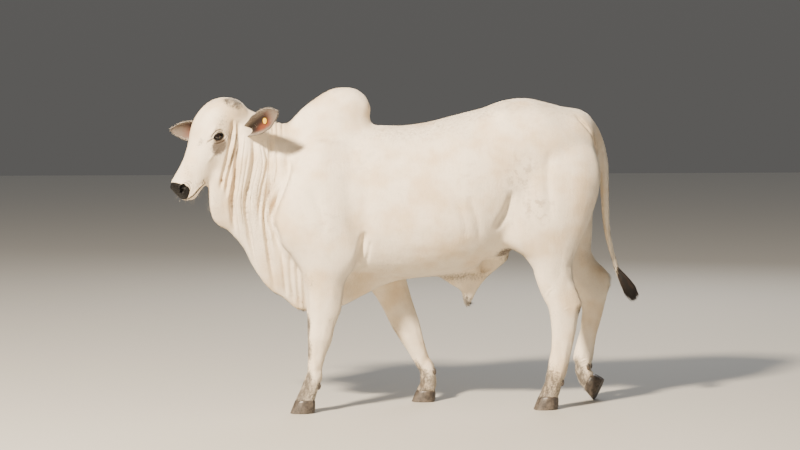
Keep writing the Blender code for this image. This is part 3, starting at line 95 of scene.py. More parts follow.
def vertex_arrays(obj):
    """The places and the normals of an object's vertices, as arrays of three columns."""
    mesh = obj.data
    points = np.empty(len(mesh.vertices) * 3)
    mesh.vertices.foreach_get("co", points)
    normals = np.empty(len(mesh.vertices) * 3)
    mesh.vertices.foreach_get("normal", normals)
    return points.reshape(-1, 3), normals.reshape(-1, 3)


def put_vertices(obj, points):
    obj.data.vertices.foreach_set("co", points.ravel())
    obj.data.update()


def unit(vectors):
    return vectors / np.maximum(np.linalg.norm(vectors, axis=1), 1e-9)[:, None]


def search_tree(obj):
    """Finds the nearest place on an object's surface, or where a ray hits it."""
    faces = [face.vertices for face in obj.data.polygons]
    return BVHTree.FromPolygons([vertex.co for vertex in obj.data.vertices], faces)


def triangles_of(obj):
    return sum(len(face.vertices) - 2 for face in obj.data.polygons)


def mesh_object(name, mesh):
    """A new object in the scene that shows a mesh."""
    made = bpy.data.objects.new(name, mesh)
    bpy.context.scene.collection.objects.link(made)
    return made


def copy_of_nodes(name, nodes):
    """One new mesh that holds copies of some CAD nodes, with the corners that triangles share merged."""
    shape = bmesh.new()
    for node in nodes:
        shape.from_mesh(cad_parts[node].data)
    bmesh.ops.remove_doubles(shape, verts=shape.verts, dist=0.01 * MM)
    mesh = bpy.data.meshes.new(name)
    shape.to_mesh(mesh)
    shape.free()
    return mesh_object(name, mesh)


# %% [markdown]
# The head has a frame of its own, so that an eye or a nostril can be placed as on a real head: so far down
# the face from the poll, so far to the side, so far out of the brow. The two eyeballs in the solids give
# its place and its turn, and the slope of the face gives the rest.

# %% The head's own frame
FACE_SLOPE = math.radians(56)
EYE_FROM_POLL = 0.165
UP = Vector((0, 0, 1))


def node_centre(node):
    low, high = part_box(node)
    return (low + high) / 2


eye_places = {"left": node_centre("eye_left"), "right": node_centre("eye_right")}
head_left = (eye_places["left"] - eye_places["right"]).normalized()
head_forward = head_left.cross(UP).normalized()
down_face = math.cos(FACE_SLOPE) * head_forward - math.sin(FACE_SLOPE) * UP
out_of_brow = math.sin(FACE_SLOPE) * head_forward + math.cos(FACE_SLOPE) * UP
poll = (eye_places["left"] + eye_places["right"]) / 2 - EYE_FROM_POLL * down_face
head_turn = np.array([down_face, head_left, out_of_brow])
eye_sideways = (eye_places["left"] - eye_places["right"]).length / 2
eye_low, eye_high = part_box("eye_left")
eye_radius = (eye_high.z - eye_low.z) / 2
print("poll at", [round(v, 3) for v in poll], "eyes", round(eye_sideways, 4), "to the side")


def to_head(points):
    return (points - np.array(poll)) @ head_turn.T


def from_head(points):
    return points @ head_turn + np.array(poll)


# %% [markdown]
# The skin. A real hide runs over the whole animal without a seam, but the solids are cut into named parts.
# One way to heal the cuts would be a Boolean union of all the parts, which keeps their facets. Another is
# to fill them with one even grid: the copies are swollen a little so that they overlap across the cuts, and a
# voxel remesh draws one new surface around them all. The second is used here, because it also gives
# the even grid of vertices that the brushes need. Eyeballs and plugs fill the sockets and the nostrils,
# which are opened again once the skin is fine enough for their rims.

# %% One surface around all the flesh
SWELL_OVER_CUTS = 0.6 * MM
SKIN_GRID = 7.0 * MM
NOSTRIL_BALLS = (((0.469, 0.053, 0.004), (23, 12.5, 16.5)), ((0.481, 0.043, -0.008), (14, 13, 12)))
PLUG_INWARDS = np.array((0.006, 0.009, 0))
NOT_FLESH = ("ear", "eye", "claw", "switch")


def is_flesh(node):
    return not any(word in node for word in NOT_FLESH)


flesh_nodes = sorted(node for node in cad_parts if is_flesh(node))
skin = copy_of_nodes("skin", flesh_nodes + ["eye_left", "eye_right"])
overlap = skin.modifiers.new("overlap", "DISPLACE")
overlap.strength = SWELL_OVER_CUTS
overlap.mid_level = 0
apply_modifiers(skin)
head_matrix = Matrix((down_face, head_left, out_of_brow)).transposed().to_4x4()


def head_ball(name, place, radii, rounds):
    """An ellipsoid in the head's frame, with its radii in millimetres."""
    bpy.ops.mesh.primitive_ico_sphere_add(subdivisions=rounds, radius=1)
    ball = bpy.context.object
    ball.name = name
    where = Matrix.Translation(Vector(from_head(np.array(place))))
    ball.data.transform(where @ head_matrix @ Matrix.Diagonal((*(MM * r for r in radii), 1)))
    return ball


def join_into(obj, others):
    """Joins the other objects into obj."""
    only(obj)
    for other in others:
        other.select_set(True)
    bpy.ops.object.join()


plugs = []
for side in (-1, 1):
    for place, radii in NOSTRIL_BALLS:
        s, y, z = np.array(place) - PLUG_INWARDS
        plugs.append(head_ball("plug", (s, side * y, z), radii, 3))
join_into(skin, plugs)
remesh = skin.modifiers.new("remesh", "REMESH")
remesh.mode = "VOXEL"
remesh.voxel_size = SKIN_GRID
apply_modifiers(skin)
print("skin grid:", len(skin.data.vertices), "vertices,", triangles_of(skin), "triangles")

# %% [markdown]
# The solids are made of few, large triangles, and a hide has no facets. Plain smoothing would take them away,
# but it also shrinks thin parts such as legs. So the skin is smoothed twice, and what the second time takes
# is given back: forms wider than the smoothing stay, and facets go. A thick body bears more rounds
# than a thin leg, so the rounds follow the thickness of the flesh under each point.

# %% Even out the facets
EVENING = ((0.05, 10), (0.16, 36), (0.34, 110))
DEEPEST = 0.40


def smoothed(obj, rounds):
    """Where the vertices would lie after some rounds of smoothing."""
    modifier = obj.modifiers.new("smooth", "SMOOTH")
    modifier.factor = 0.5
    modifier.iterations = rounds
    shown = obj.evaluated_get(bpy.context.evaluated_depsgraph_get())
    mesh = shown.to_mesh()
    points = np.empty(len(mesh.vertices) * 3)
    mesh.vertices.foreach_get("co", points)
    shown.to_mesh_clear()
    obj.modifiers.remove(modifier)
    return points.reshape(-1, 3)


def evened(obj, rounds):
    return 2 * smoothed(obj, rounds) - smoothed(obj, 2 * rounds)


def edge_ends(obj):
    """The numbers of the first and of the second vertex of every edge."""
    ends = np.empty(len(obj.data.edges) * 2, dtype=np.int64)
    obj.data.edges.foreach_get("vertices", ends)
    return ends.reshape(-1, 2).T


def spread(obj, values, rounds):
    """Blurs a value that each vertex has, by averaging it with its neighbours' values."""
    first, second = edge_ends(obj)
    size = len(values)
    count = np.bincount(first, minlength=size) + np.bincount(second, minlength=size)
    for _ in range(rounds):
        total = np.bincount(first, values[second], size) + np.bincount(second, values[first], size)
        values = (values + total / count) / 2
    return values


def flesh_thickness(obj):
    """How far it is from each vertex straight through the flesh to the skin on the other side."""
    points, normals = vertex_arrays(obj)
    tree = search_tree(obj)
    depth = np.full(len(points), DEEPEST)
    for i, (point, normal) in enumerate(zip(points, normals)):
        distance = tree.ray_cast(point - 2 * MM * normal, -normal, DEEPEST)[3]
        if distance is not None:
            depth[i] = distance
    return depth


flesh_depth = spread(skin, flesh_thickness(skin), 30)
layers = [evened(skin, rounds) for _, rounds in EVENING]
evened_skin = layers[0]
for (thin, _), (thick, _), layer in zip(EVENING, EVENING[1:], layers[1:]):
    share = np.clip((flesh_depth - thin) / (thick - thin), 0, 1)
    evened_skin = evened_skin + (layer - evened_skin) * share[:, None]
moved = np.linalg.norm(evened_skin - vertex_arrays(skin)[0], axis=1)
put_vertices(skin, evened_skin)
print("evening moved the skin by", round(moved.mean() / MM, 2), "mm, at most", round(moved.max() / MM, 1))

# %% [markdown]
# Lids, nostrils and fine wrinkles need smaller faces than the flank does. Cutting every face smaller would
# pass any sensible count, so only the head and the neck are subdivided, and the parts around the eyes and
# the muzzle once more. The new corners lie on flat faces, so each step ends with a few even rounds.

# %% Finer faces where the detail is
HEAD_SPAN = (-0.10, 0.54)
HEAD_HALF_WIDTH = 0.17
HEAD_UNDER = -0.21
MUZZLE_FROM = 0.375
EYE_PARTS_REACH = 0.062
CHEEKS_FROM = 0.06
FOLD_FRONT = -1.02
FOLD_REAR = -0.61
FOLD_TOP = 1.52
FOLD_BOTTOM = 0.52


def near_head(points):
    head = to_head(points)
    inside = (head[:, 0] > HEAD_SPAN[0]) & (head[:, 0] < HEAD_SPAN[1])
    return inside & (np.abs(head[:, 1]) < HEAD_HALF_WIDTH) & (head[:, 2] > HEAD_UNDER)


def near_folds(points):
    inside = (points[:, 0] > FOLD_FRONT) & (points[:, 0] < FOLD_REAR)
    return inside & (points[:, 2] > FOLD_BOTTOM) & (points[:, 2] < FOLD_TOP)


def near_face_parts(points):
    """Around each eye and over the muzzle."""
    head = to_head(points)
    muzzle = head[:, 0] > MUZZLE_FROM
    eye = np.hypot(head[:, 0] - EYE_FROM_POLL, head[:, 2]) < EYE_PARTS_REACH
    return near_head(points) & (muzzle | (eye & (np.abs(head[:, 1]) > CHEEKS_FROM)))


def refine(obj, chooser):
    """Halves the edges of the faces whose corners are all chosen."""
    shape = bmesh.new()
    shape.from_mesh(obj.data)
    shape.verts.ensure_lookup_table()
    chosen = chooser(np.array([vertex.co for vertex in shape.verts]))
    edges = [edge for edge in shape.edges if chosen[edge.verts[0].index] and chosen[edge.verts[1].index]]
    bmesh.ops.subdivide_edges(shape, edges=edges, cuts=1, use_grid_fill=True)
    bmesh.ops.triangulate(shape, faces=[face for face in shape.faces if len(face.verts) > 4])
    shape.to_mesh(obj.data)
    shape.free()


def even_where(obj, chooser, rounds):
    points, _ = vertex_arrays(obj)
    share = spread(obj, chooser(points).astype(float), 3)
    put_vertices(obj, points + (evened(obj, rounds) - points) * share[:, None])


refine(skin, lambda points: near_head(points) | near_folds(points))
even_where(skin, lambda points: near_head(points) | near_folds(points), 3)
print("with a finer head and neck:", len(skin.data.vertices), "vertices")

# %% [markdown]
# Brushes. A swell pushes the skin out around a centre, and a fold is a groove along a line, with a low
# ridge on both sides and a narrow crease at its bottom, as loose skin has where it bends. The lines are
# drawn in side view, as one would sketch them beside the animal.

# %% Brushes for swells and folds
SIZES_START = Vector((-0.039, 0.008, 0))
FOLD_END = 6
CREASE_SHARE = 0.35
CREASE_WIDTH = 0.30


def between(rows, steps):
    """A smooth curve through some points: Catmull-Rom, with so many steps from one to the next."""
    rows = np.array(rows, dtype=float)
    padded = np.vstack([2 * rows[0] - rows[1], rows, 2 * rows[-1] - rows[-2]])
    curve = []
    for i in range(len(rows) - 1):
        a, b, c, d = padded[i:i + 4]
        for k in range(steps):
            t = k / steps
            curve.append(0.5 * (2 * b + (c - a) * t + (2 * a - 5 * b + 4 * c - d) * t**2
                                + (3 * b - a - 3 * c + d) * t**3))
    curve.append(rows[-1])
    return np.array(curve)


def falloff(distance):
    """One in the middle and zero from a distance of one, with a soft rim."""
    return np.clip(1 - distance**2, 0, None) ** 2


def swell(points, normals, centre, radii, amount):
    away = np.linalg.norm((points - np.array(centre)) / np.array(radii), axis=1)
    points += normals * (amount * falloff(away))[:, None]


def line_distance(points, line):
    """How far each point is from a line of places, and how far along the line that is."""
    best = np.full(len(points), np.inf)
    where = np.zeros(len(points))
    for i in range(len(line) - 1):
        step = line[i + 1] - line[i]
        t = np.clip(((points - line[i]) @ step) / (step @ step), 0, 1)
        away = np.linalg.norm(points - line[i] - t[:, None] * step, axis=1)
        nearer = away < best
        best[nearer] = away[nearer]
        where[nearer] = (i + t[nearer]) / (len(line) - 1)
    return best, where


def groove(flat, path, width):
    """How deep a fold is at each point of a plane, with 1 at its bottom."""
    away, where = line_distance(flat, between(path, 6))
    reach = away / width
    soft = (1 - 0.9 * reach**2) * np.exp(-(reach**2))
    crease = np.exp(-((reach / CREASE_WIDTH) ** 2))
    ends = np.clip(np.minimum(where, 1 - where) * FOLD_END, 0, 1)
    return (soft * (1 - CREASE_SHARE) + crease * CREASE_SHARE) * ends


def fold(points, normals, path, width, depth, side):
    """Sinks a fold whose path is drawn in side view into one side of the body."""
    path = np.array(path)
    low = path.min(axis=0) - 4 * width
    high = path.max(axis=0) + 4 * width
    facing = np.clip(normals[:, 1] * side * 2, 0, 1)
    inside = (points[:, 0] > low[0]) & (points[:, 0] < high[0]) & (points[:, 2] > low[1])
    inside &= (points[:, 2] < high[1]) & (facing > 0)
    depths = depth * facing[inside] * groove(points[inside][:, [0, 2]], path, width)
    points[inside] -= normals[inside] * depths[:, None]


# %% [markdown]
# The neck of a Zebu is wrapped in loose skin that hangs in long folds from behind the jaw to the dewlap. The
# deep ones are the solids' own, drawn again with sharper bottoms. Between each two of them, finer folds
# follow their neighbours, as the photo shows, so they are worked out from them and not drawn one by one.

# %% Folds of the neck and the body
NECK_FOLDS = [
    ([(-0.834, 1.450), (-0.841, 1.377), (-0.867, 1.251), (-0.888, 1.165), (-0.900, 1.100)], 0.013, 0.012),
    ([(-0.806, 1.440), (-0.815, 1.340), (-0.840, 1.240), (-0.863, 1.150), (-0.872, 1.060)], 0.013, 0.015),
    ([(-0.790, 1.400), (-0.816, 1.270), (-0.831, 1.124), (-0.843, 1.037), (-0.828, 0.880)], 0.015, 0.018),
    ([(-0.736, 1.368), (-0.734, 1.264), (-0.752, 1.160), (-0.776, 1.040), (-0.760, 0.900), (-0.715, 0.660)],
     0.015, 0.017),
    ([(-0.690, 1.330), (-0.668, 1.264), (-0.673, 1.193), (-0.700, 1.080), (-0.712, 0.900)], 0.014, 0.012),
    ([(-0.654, 1.395), (-0.652, 1.280), (-0.660, 1.150), (-0.681, 0.990), (-0.668, 0.840), (-0.628, 0.580)],
     0.015, 0.018),
    ([(-0.626, 1.320), (-0.622, 1.241), (-0.629, 1.170), (-0.668, 1.040)], 0.012, 0.011),
]
BODY_FOLDS = [
    ([(-0.577, 1.330), (-0.570, 1.203), (-0.600, 1.110), (-0.652, 0.970), (-0.628, 0.870), (-0.590, 0.720)],
     0.020, 0.014),
    ([(-0.200, 0.900), (-0.215, 0.800), (-0.240, 0.720)], 0.022, 0.014),
    ([(-0.172, 0.860), (-0.180, 0.780), (-0.200, 0.700)], 0.014, 0.006),
    ([(-0.560, 0.800), (-0.552, 0.660), (-0.534, 0.520)], 0.013, 0.009),
    ([(-0.526, 0.740), (-0.516, 0.620), (-0.502, 0.480)], 0.012, 0.008),
    ([(-0.490, 0.700), (-0.486, 0.600), (-0.476, 0.480)], 0.012, 0.007),
    ([(-0.600, 0.840), (-0.590, 0.700), (-0.572, 0.560)], 0.013, 0.009),
    ([(0.300, 1.080), (0.345, 0.960), (0.370, 0.840)], 0.030, 0.005),
    ([(0.240, 1.060), (0.280, 0.960), (0.300, 0.860)], 0.030, 0.004),
    ([(-0.470, 1.120), (-0.420, 1.000), (-0.400, 0.880)], 0.034, 0.005),
    ([(0.440, 0.900), (0.500, 0.990), (0.530, 1.100)], 0.026, 0.010),
    ([(0.720, 1.300), (0.700, 1.150), (0.720, 0.950)], 0.030, 0.005),
    ([(0.862, 1.470), (0.902, 1.428), (0.959, 1.357), (0.974, 1.311), (0.989, 1.281)], 0.012, 0.009),
]
FINE_FOLD_SHARES = (0.33, 0.66)
FINE_FOLD_WIDTH = 5.5 * MM
FINE_FOLD_DEPTH = 4.5 * MM
FINE_FOLD_WAVE = 3 * MM


def in_place(path):
    """A path of the solids' own sizes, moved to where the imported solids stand."""
    return [(x + SIZES_START.x, z) for x, z in path]


def fine_folds(chance):
    """Paths between each two neighbouring folds of the neck, each with a slight wave of its own."""
    paths = []
    for (first, _, _), (second, _, _) in zip(NECK_FOLDS, NECK_FOLDS[1:]):
        a, b = between(first, 6), between(second, 6)
        steps = np.linspace(0, 1, 9)
        a = np.array([a[int(round(t * (len(a) - 1)))] for t in steps])
        b = np.array([b[int(round(t * (len(b) - 1)))] for t in steps])
        for share in FINE_FOLD_SHARES:
            wave = FINE_FOLD_WAVE * np.sin(steps * chance.uniform(4, 8) + chance.uniform(0, 6))
            path = a + (b - a) * share
            path[:, 0] += wave
            start, end = chance.integers(0, 3), chance.integers(6, 9)
            paths.append(path[start:end + 1])
    return paths


fold_chance = np.random.default_rng(5)
points, normals = vertex_arrays(skin)
for side in (-1, 1):
    for path, width, depth in NECK_FOLDS + BODY_FOLDS:
        fold(points, normals, in_place(path), width, depth, side)
put_vertices(skin, points)
points, normals = vertex_arrays(skin)
for side in (-1, 1):
    for path in fine_folds(fold_chance):
        fold(points, normals, in_place(path), FINE_FOLD_WIDTH, FINE_FOLD_DEPTH, side)
put_vertices(skin, points)
even_where(skin, near_folds, 1)
print("folds drawn:", 2 * (len(NECK_FOLDS) + len(BODY_FOLDS)), "deep ones")

# %% [markdown]
# Ahead of the hump the crest of the neck is pushed together into small wrinkles that show in the outline.

# %% Wrinkles on the crest of the neck
CREST_WRINKLES = (-0.700, -0.678, -0.655, -0.630)
CREST_WRINKLE_WIDTH = 6 * MM
CREST_WRINKLE_DEPTH = 5 * MM
CREST_MIDDLE = -0.665
CREST_HALF_LENGTH = 0.08
CREST_HEIGHT = 1.40
CREST_FADE = 0.09

points, normals = vertex_arrays(skin)
crest = np.clip((points[:, 2] - CREST_HEIGHT + CREST_FADE) / CREST_FADE, 0, 1)
crest *= (np.abs(points[:, 0] - CREST_MIDDLE) < CREST_HALF_LENGTH) & ~near_head(points)
for x in CREST_WRINKLES:
    reach = (points[:, 0] - x) / CREST_WRINKLE_WIDTH
    depths = CREST_WRINKLE_DEPTH * crest * (1 - 0.9 * reach**2) * np.exp(-(reach**2))
    points -= normals * depths[:, None]
put_vertices(skin, points)
print("wrinkles on the crest:", len(CREST_WRINKLES))

# %% [markdown]
# Where a leg bends, its skin lies in short parallel creases: at the elbow, behind the knee, over the fetlocks
# and in front of the hock. They are narrower than the skin's faces, so those get smaller there first.

# %% Wrinkles at the joints of the legs
WRINKLES = [
    # side that they face, middle along and up, way in degrees, length, spacing, how many, half width, depth
    (-1, -0.258, 0.690, 62, 0.100, 0.018, 4, 0.0075, 0.0026),
    (-1, -0.385, 0.448, 8, 0.050, 0.013, 3, 0.0055, 0.0014),
    (-1, -0.404, 0.334, -18, 0.050, 0.014, 3, 0.0055, 0.0012),
    (-1, -0.545, 0.150, 32, 0.070, 0.013, 4, 0.0055, 0.0020),
    (-1, 0.685, 0.585, 52, 0.080, 0.022, 2, 0.0080, 0.0016),
    (-1, 0.770, 0.500, 30, 0.060, 0.016, 2, 0.0060, 0.0012),
    (-1, 0.645, 0.150, 30, 0.065, 0.013, 4, 0.0055, 0.0020),
    (-1, 0.112, 0.124, 38, 0.075, 0.013, 5, 0.0055, 0.0024),
    (1, 0.112, 0.124, 38, 0.075, 0.013, 5, 0.0055, 0.0024),
    (1, 0.020, 0.700, 62, 0.100, 0.018, 4, 0.0075, 0.0026),
    (1, 0.930, 0.185, 25, 0.070, 0.014, 4, 0.0055, 0.0024),
    (-1, 0.930, 0.185, 25, 0.070, 0.014, 4, 0.0055, 0.0024),
]
WRINKLE_ROOM = 0.065


def near_wrinkles(points):
    near = np.zeros(len(points), dtype=bool)
    for _, x, z, *_ in WRINKLES:
        near |= np.hypot(points[:, 0] - x, points[:, 2] - z) < WRINKLE_ROOM
    return near


refine(skin, near_wrinkles)
even_where(skin, near_wrinkles, 3)
points, normals = vertex_arrays(skin)
for side, x, z, way, length, spacing, count, width, depth in WRINKLES:
    along = np.array((math.cos(math.radians(way)), math.sin(math.radians(way))))
    across = np.array((-along[1], along[0]))
    for i in range(count):
        step = spacing * (i - (count - 1) / 2) * fold_chance.uniform(0.85, 1.15)
        middle = np.array((x, z)) + across * step
        bend = across * length * fold_chance.uniform(0.06, 0.14)
        reach = along * length / 2 * fold_chance.uniform(0.7, 1.0)
        fold(points, normals, [middle - reach, middle + bend, middle + reach], width, depth, side)
put_vertices(skin, points)
print("wrinkled at", len(WRINKLES), "places,", triangles_of(skin), "triangles")

# %% [markdown]
# The tail is hardly wider than three cells of the skin's grid, so the grid left lumps on it. There the skin
# is laid on the solids' own tail again and then evened.

# %% The tail's own roundness
TAIL_NODES = ["tail_upper", "tail_middle", "tail_lower"]
TAIL_FROM = 0.93
TAIL_TOP = 1.30
TAIL_BOTTOM = 0.60
TAIL_LAID_FROM = 0.695
TAIL_ROOM = 9 * MM


def near_tail(points):
    return (points[:, 0] > TAIL_FROM) & (points[:, 2] < TAIL_TOP) & (points[:, 2] > TAIL_BOTTOM)


tail_shape = copy_of_nodes("tail_shape", TAIL_NODES)
tail_tree = search_tree(tail_shape)
bpy.data.objects.remove(tail_shape)
points, _ = vertex_arrays(skin)
laid = 0
for i in np.flatnonzero(near_tail(points)):
    place, _, _, distance = tail_tree.find_nearest(Vector(points[i]), TAIL_ROOM)
    if place is not None and points[i, 2] > TAIL_LAID_FROM:
        points[i] = place
        laid += 1
put_vertices(skin, points)
even_where(skin, near_tail, 2)
print("laid", laid, "vertices on the tail")

# %% [markdown]
# The face. Over each eyeball the skin is drawn into a lid that follows the ball. Above and below the opening
# lie the creases into which the lids fold, and a soft ridge runs from under the eye towards the muzzle. The
# nostril's wing has a groove behind it, where the bare nose ends.

# %% Lids and creases of the face
LID_THICKNESS = 3.5 * MM
LID_SPREAD = 0.045
EYE_TILT = math.radians(38)
LID_LENGTH = 25 * MM
LID_UPPER = 15 * MM
LID_LOWER = 11.5 * MM
FACE_FOLDS = [
    # paths down the face and out of the brow from the eye, half width, depth
    ([(-0.037, -0.010), (-0.030, 0.014), (-0.008, 0.029), (0.016, 0.030), (0.034, 0.022)], 0.0045, 0.0030),
    ([(-0.030, -0.026), (-0.006, -0.026), (0.014, -0.014), (0.032, 0.006)], 0.0045, 0.0024),
    ([(-0.032, -0.038), (-0.004, -0.038), (0.022, -0.024), (0.046, -0.002)], 0.0055, 0.0022),
    ([(0.022, 0.014), (0.038, 0.026), (0.056, 0.032)], 0.0040, 0.0020),
    ([(0.284, 0.020), (0.273, 0.002), (0.277, -0.020), (0.292, -0.034)], 0.0050, 0.0030),
    ([(0.268, 0.014), (0.258, -0.006), (0.262, -0.024)], 0.0050, 0.0016),
    ([(0.208, -0.064), (0.214, -0.076), (0.212, -0.094)], 0.0050, 0.0030),
    ([(0.222, -0.066), (0.232, -0.080), (0.236, -0.094)], 0.0050, 0.0022),
]
FACE_SWELLS = [
    # centres down the face, sideways and out of the brow, three radii, how far out
    (0.163, 0.100, 0.040, 0.045, 0.040, 0.014, 0.0045),
    (0.245, 0.085, -0.030, 0.075, 0.030, 0.012, 0.0035),
    (0.128, 0.100, -0.028, 0.030, 0.030, 0.020, -0.0030),
    (0.450, 0.058, -0.078, 0.045, 0.030, 0.014, 0.0030),
    (0.478, 0.055, 0.006, 0.020, 0.020, 0.024, 0.0030),
    (0.484, 0.000, -0.020, 0.020, 0.006, 0.034, -0.0030),
    (0.452, 0.000, -0.096, 0.040, 0.034, 0.020, 0.0040),
]


def cover_eye(head, side):
    """Draws the skin over the eyeball, so that it lies on it as a closed lid would."""
    out = head[:, 1] * side - eye_sideways
    flat = np.hypot(head[:, 0] - EYE_FROM_POLL, head[:, 2])
    near = (flat < LID_SPREAD) & (out > -eye_radius)
    ball = np.sqrt(np.clip(eye_radius**2 - flat**2, 0, None))
    blend = falloff(flat / LID_SPREAD)
    covered = np.maximum(out, ball + LID_THICKNESS) * blend + out * (1 - blend)
    head[near, 1] = side * (eye_sideways + covered[near])


def shape_face(obj):
    points, normals = vertex_arrays(obj)
    near = near_head(points)
    head, turned = to_head(points[near]), normals[near] @ head_turn.T
    for side in (-1, 1):
        for s, y, z, rs, ry, rz, amount in FACE_SWELLS:
            swell(head, turned, (s, side * y, z), (rs, ry, rz), amount)
        cover_eye(head, side)
        facing = np.clip(turned[:, 1] * side * 2, 0, 1)
        for path, width, depth in FACE_FOLDS:
            drawn = [(EYE_FROM_POLL + s, z) for s, z in path]
            sink = depth * facing * groove(head[:, [0, 2]], drawn, width)
            head -= turned * sink[:, None]
    points[near] = from_head(head)
    put_vertices(obj, points)


refine(skin, near_face_parts)
even_where(skin, near_face_parts, 3)
shape_face(skin)
print("with finer lids and muzzle:", len(skin.data.vertices), "vertices")

# %% [markdown]
# The mouth is a closed slit that runs round the front of the muzzle to a corner on each side. Its line is
# found on the skin itself: rays are cast from all round at the muzzle, at the height that the line has
# there, and where they hit, the skin is drawn in, between two lips that swell a little.

# %% The line of the mouth
MOUTH_LINE = [(0.500, -0.057), (0.470, -0.060), (0.435, -0.067), (0.405, -0.078), (0.382, -0.092)]
MOUTH_CENTRE = 0.430
MOUTH_STEPS = 24
MOUTH_FRONT_SHARE = 0.55
MUZZLE_RADIUS = 0.06
MOUTH_DEPTH = 7 * MM
MOUTH_WIDTH = 2.6 * MM
LIP_HEIGHT = 3.0 * MM
LIP_AWAY = 8 * MM
LIP_WIDTH = 6 * MM
MOUTH_ENDS = 12
MUZZLE_REACH = 0.15


def mouth_on_skin(obj):
    """Places along the mouth, from one corner round the front to the other."""
    tree = search_tree(obj)
    line = np.array(MOUTH_LINE)[::-1]
    places = []
    for i in range(-MOUTH_STEPS, MOUTH_STEPS + 1):
        share = abs(i) / MOUTH_STEPS
        side = -1 if i < 0 else 1
        angle = math.pi / 2 * min(share / MOUTH_FRONT_SHARE, 1)
        back = max(share - MOUTH_FRONT_SHARE, 0) / (1 - MOUTH_FRONT_SHARE)
        start = MOUTH_CENTRE - back * (MOUTH_CENTRE - MOUTH_LINE[-1][0])
        height = np.interp(start + MUZZLE_RADIUS * math.cos(angle), line[:, 0], line[:, 1])
        way = np.array((math.cos(angle), side * math.sin(angle), 0))
        origin = from_head(np.array((start, 0, height)) + 3 * MUZZLE_RADIUS * way)
        hit = tree.ray_cast(Vector(origin), Vector(-way @ head_turn))[0]
        places.append(np.array(hit))
    return np.array(places)


lip_line = mouth_on_skin(skin)
points, normals = vertex_arrays(skin)
muzzle = np.flatnonzero(np.linalg.norm(points - lip_line.mean(axis=0), axis=1) < MUZZLE_REACH)
away, where = line_distance(points[muzzle], lip_line)
ends = np.clip(np.minimum(where, 1 - where) * MOUTH_ENDS, 0, 1)
slit = MOUTH_DEPTH * np.exp(-((away / MOUTH_WIDTH) ** 2))
lips = LIP_HEIGHT * np.exp(-(((away - LIP_AWAY) / LIP_WIDTH) ** 2))
points[muzzle] += normals[muzzle] * ((lips - slit) * ends)[:, None]
put_vertices(skin, points)
print("the mouth is", round(np.linalg.norm(np.diff(lip_line, axis=0), axis=1).sum(), 3), "m round the muzzle")

# %% [markdown]
# The flank is now far finer than it needs to be. Decimation takes corners away where the surface hardly
# bends, so the folds keep theirs, and a vertex group keeps it off the lids and the muzzle.

# %% Thin out the flat stretches
SKIN_TRIANGLES = 190_000


def thin_out(obj, keeper, triangles):
    """Collapses edges, outside the part that keeper picks, until so many triangles are left."""
    in_edit_mode(obj, bpy.ops.mesh.quads_convert_to_tris)
    points, _ = vertex_arrays(obj)
    group = obj.vertex_groups.new(name="thinned")
    group.add(np.flatnonzero(~keeper(points)).tolist(), 1.0, "REPLACE")
    decimate = obj.modifiers.new("thin", "DECIMATE")
    decimate.ratio = triangles / triangles_of(obj)
    decimate.vertex_group = group.name
    decimate.vertex_group_factor = 1.0
    apply_modifiers(obj)
    obj.vertex_groups.clear()


thin_out(skin, near_face_parts, SKIN_TRIANGLES)
print("thinned skin:", triangles_of(skin), "triangles")

# %% [markdown]
# Now the face is opened. The gap between the lids is an almond that tilts with the eye. It could be cut face
# by face, but a Boolean with a closed prism of that shape leaves a clean edge through both lids.

# %% The gap between the lids
LID_PRISM = (0.004, 0.045)
LID_CORNERS = 40


def eye_plane(along, up, out, side):
    """A place near an eye: along the lids towards their front corner, across them, and out of the head."""
    s = EYE_FROM_POLL + along * math.cos(EYE_TILT) - up * math.sin(EYE_TILT)
    z = along * math.sin(EYE_TILT) + up * math.cos(EYE_TILT)
    return from_head(np.array((s, side * (eye_sideways + out), z)))


def lid_edge(turn):
    """The lid's edge at a turn round the eye, as places along the lids and across them."""
    along = LID_LENGTH * math.cos(turn)
    height = LID_UPPER if math.sin(turn) > 0 else -LID_LOWER
    return along, height * (1 - math.cos(turn) ** 2)


def lid_prism(side):
    """A prism through the gap between the lids, made from a cylinder whose corners go to the lids' edge."""
    bpy.ops.mesh.primitive_cylinder_add(vertices=LID_CORNERS, radius=1, depth=2)
    prism = bpy.context.object
    for vertex in prism.data.vertices:
        along, up = lid_edge(math.atan2(vertex.co.y, vertex.co.x))
        vertex.co = eye_plane(along, up, LID_PRISM[0 if vertex.co.z < 0 else 1], side)
    in_edit_mode(prism, bpy.ops.mesh.normals_make_consistent, inside=False)
    return prism


# %% [markdown]
# A ball cuts each socket, the prism the gap between the lids, and two sunken ellipsoids each nostril, which
# has a round rear lobe and a narrow slit in front. A cut leaves sharp edges, and a few rounds of smoothing
# along them give the lids their rounded rims.

# %% Open the eyes and the nostrils
SOCKET_ROOM = 0.3 * MM
RIM_ROUNDS = 4
LID_RIM = 4 * MM
NOSTRIL_RIM = (0.6, 1.25)


def cut_out(obj, cutter):
    """Takes a closed shape away from obj and removes it."""
    cut = obj.modifiers.new("cut", "BOOLEAN")
    cut.operation = "DIFFERENCE"
    cut.solver = "MANIFOLD"
    cut.object = cutter
    apply_modifiers(obj)
    bpy.data.objects.remove(cutter)


def on_lids(head):
    """How far some places of the head are along the lids and across them."""
    down = head[:, 0] - EYE_FROM_POLL
    along = down * math.cos(EYE_TILT) + head[:, 2] * math.sin(EYE_TILT)
    return along, head[:, 2] * math.cos(EYE_TILT) - down * math.sin(EYE_TILT)


def from_nostrils(head):
    """How far some places of the head are from each ball of the nostrils, where 1 is the ball's surface."""
    sided = np.column_stack([head[:, 0], np.abs(head[:, 1]), head[:, 2]])
    scaled = [(sided - place) / (MM * np.array(radii)) for place, radii in NOSTRIL_BALLS]
    return [np.linalg.norm(away, axis=1) for away in scaled]


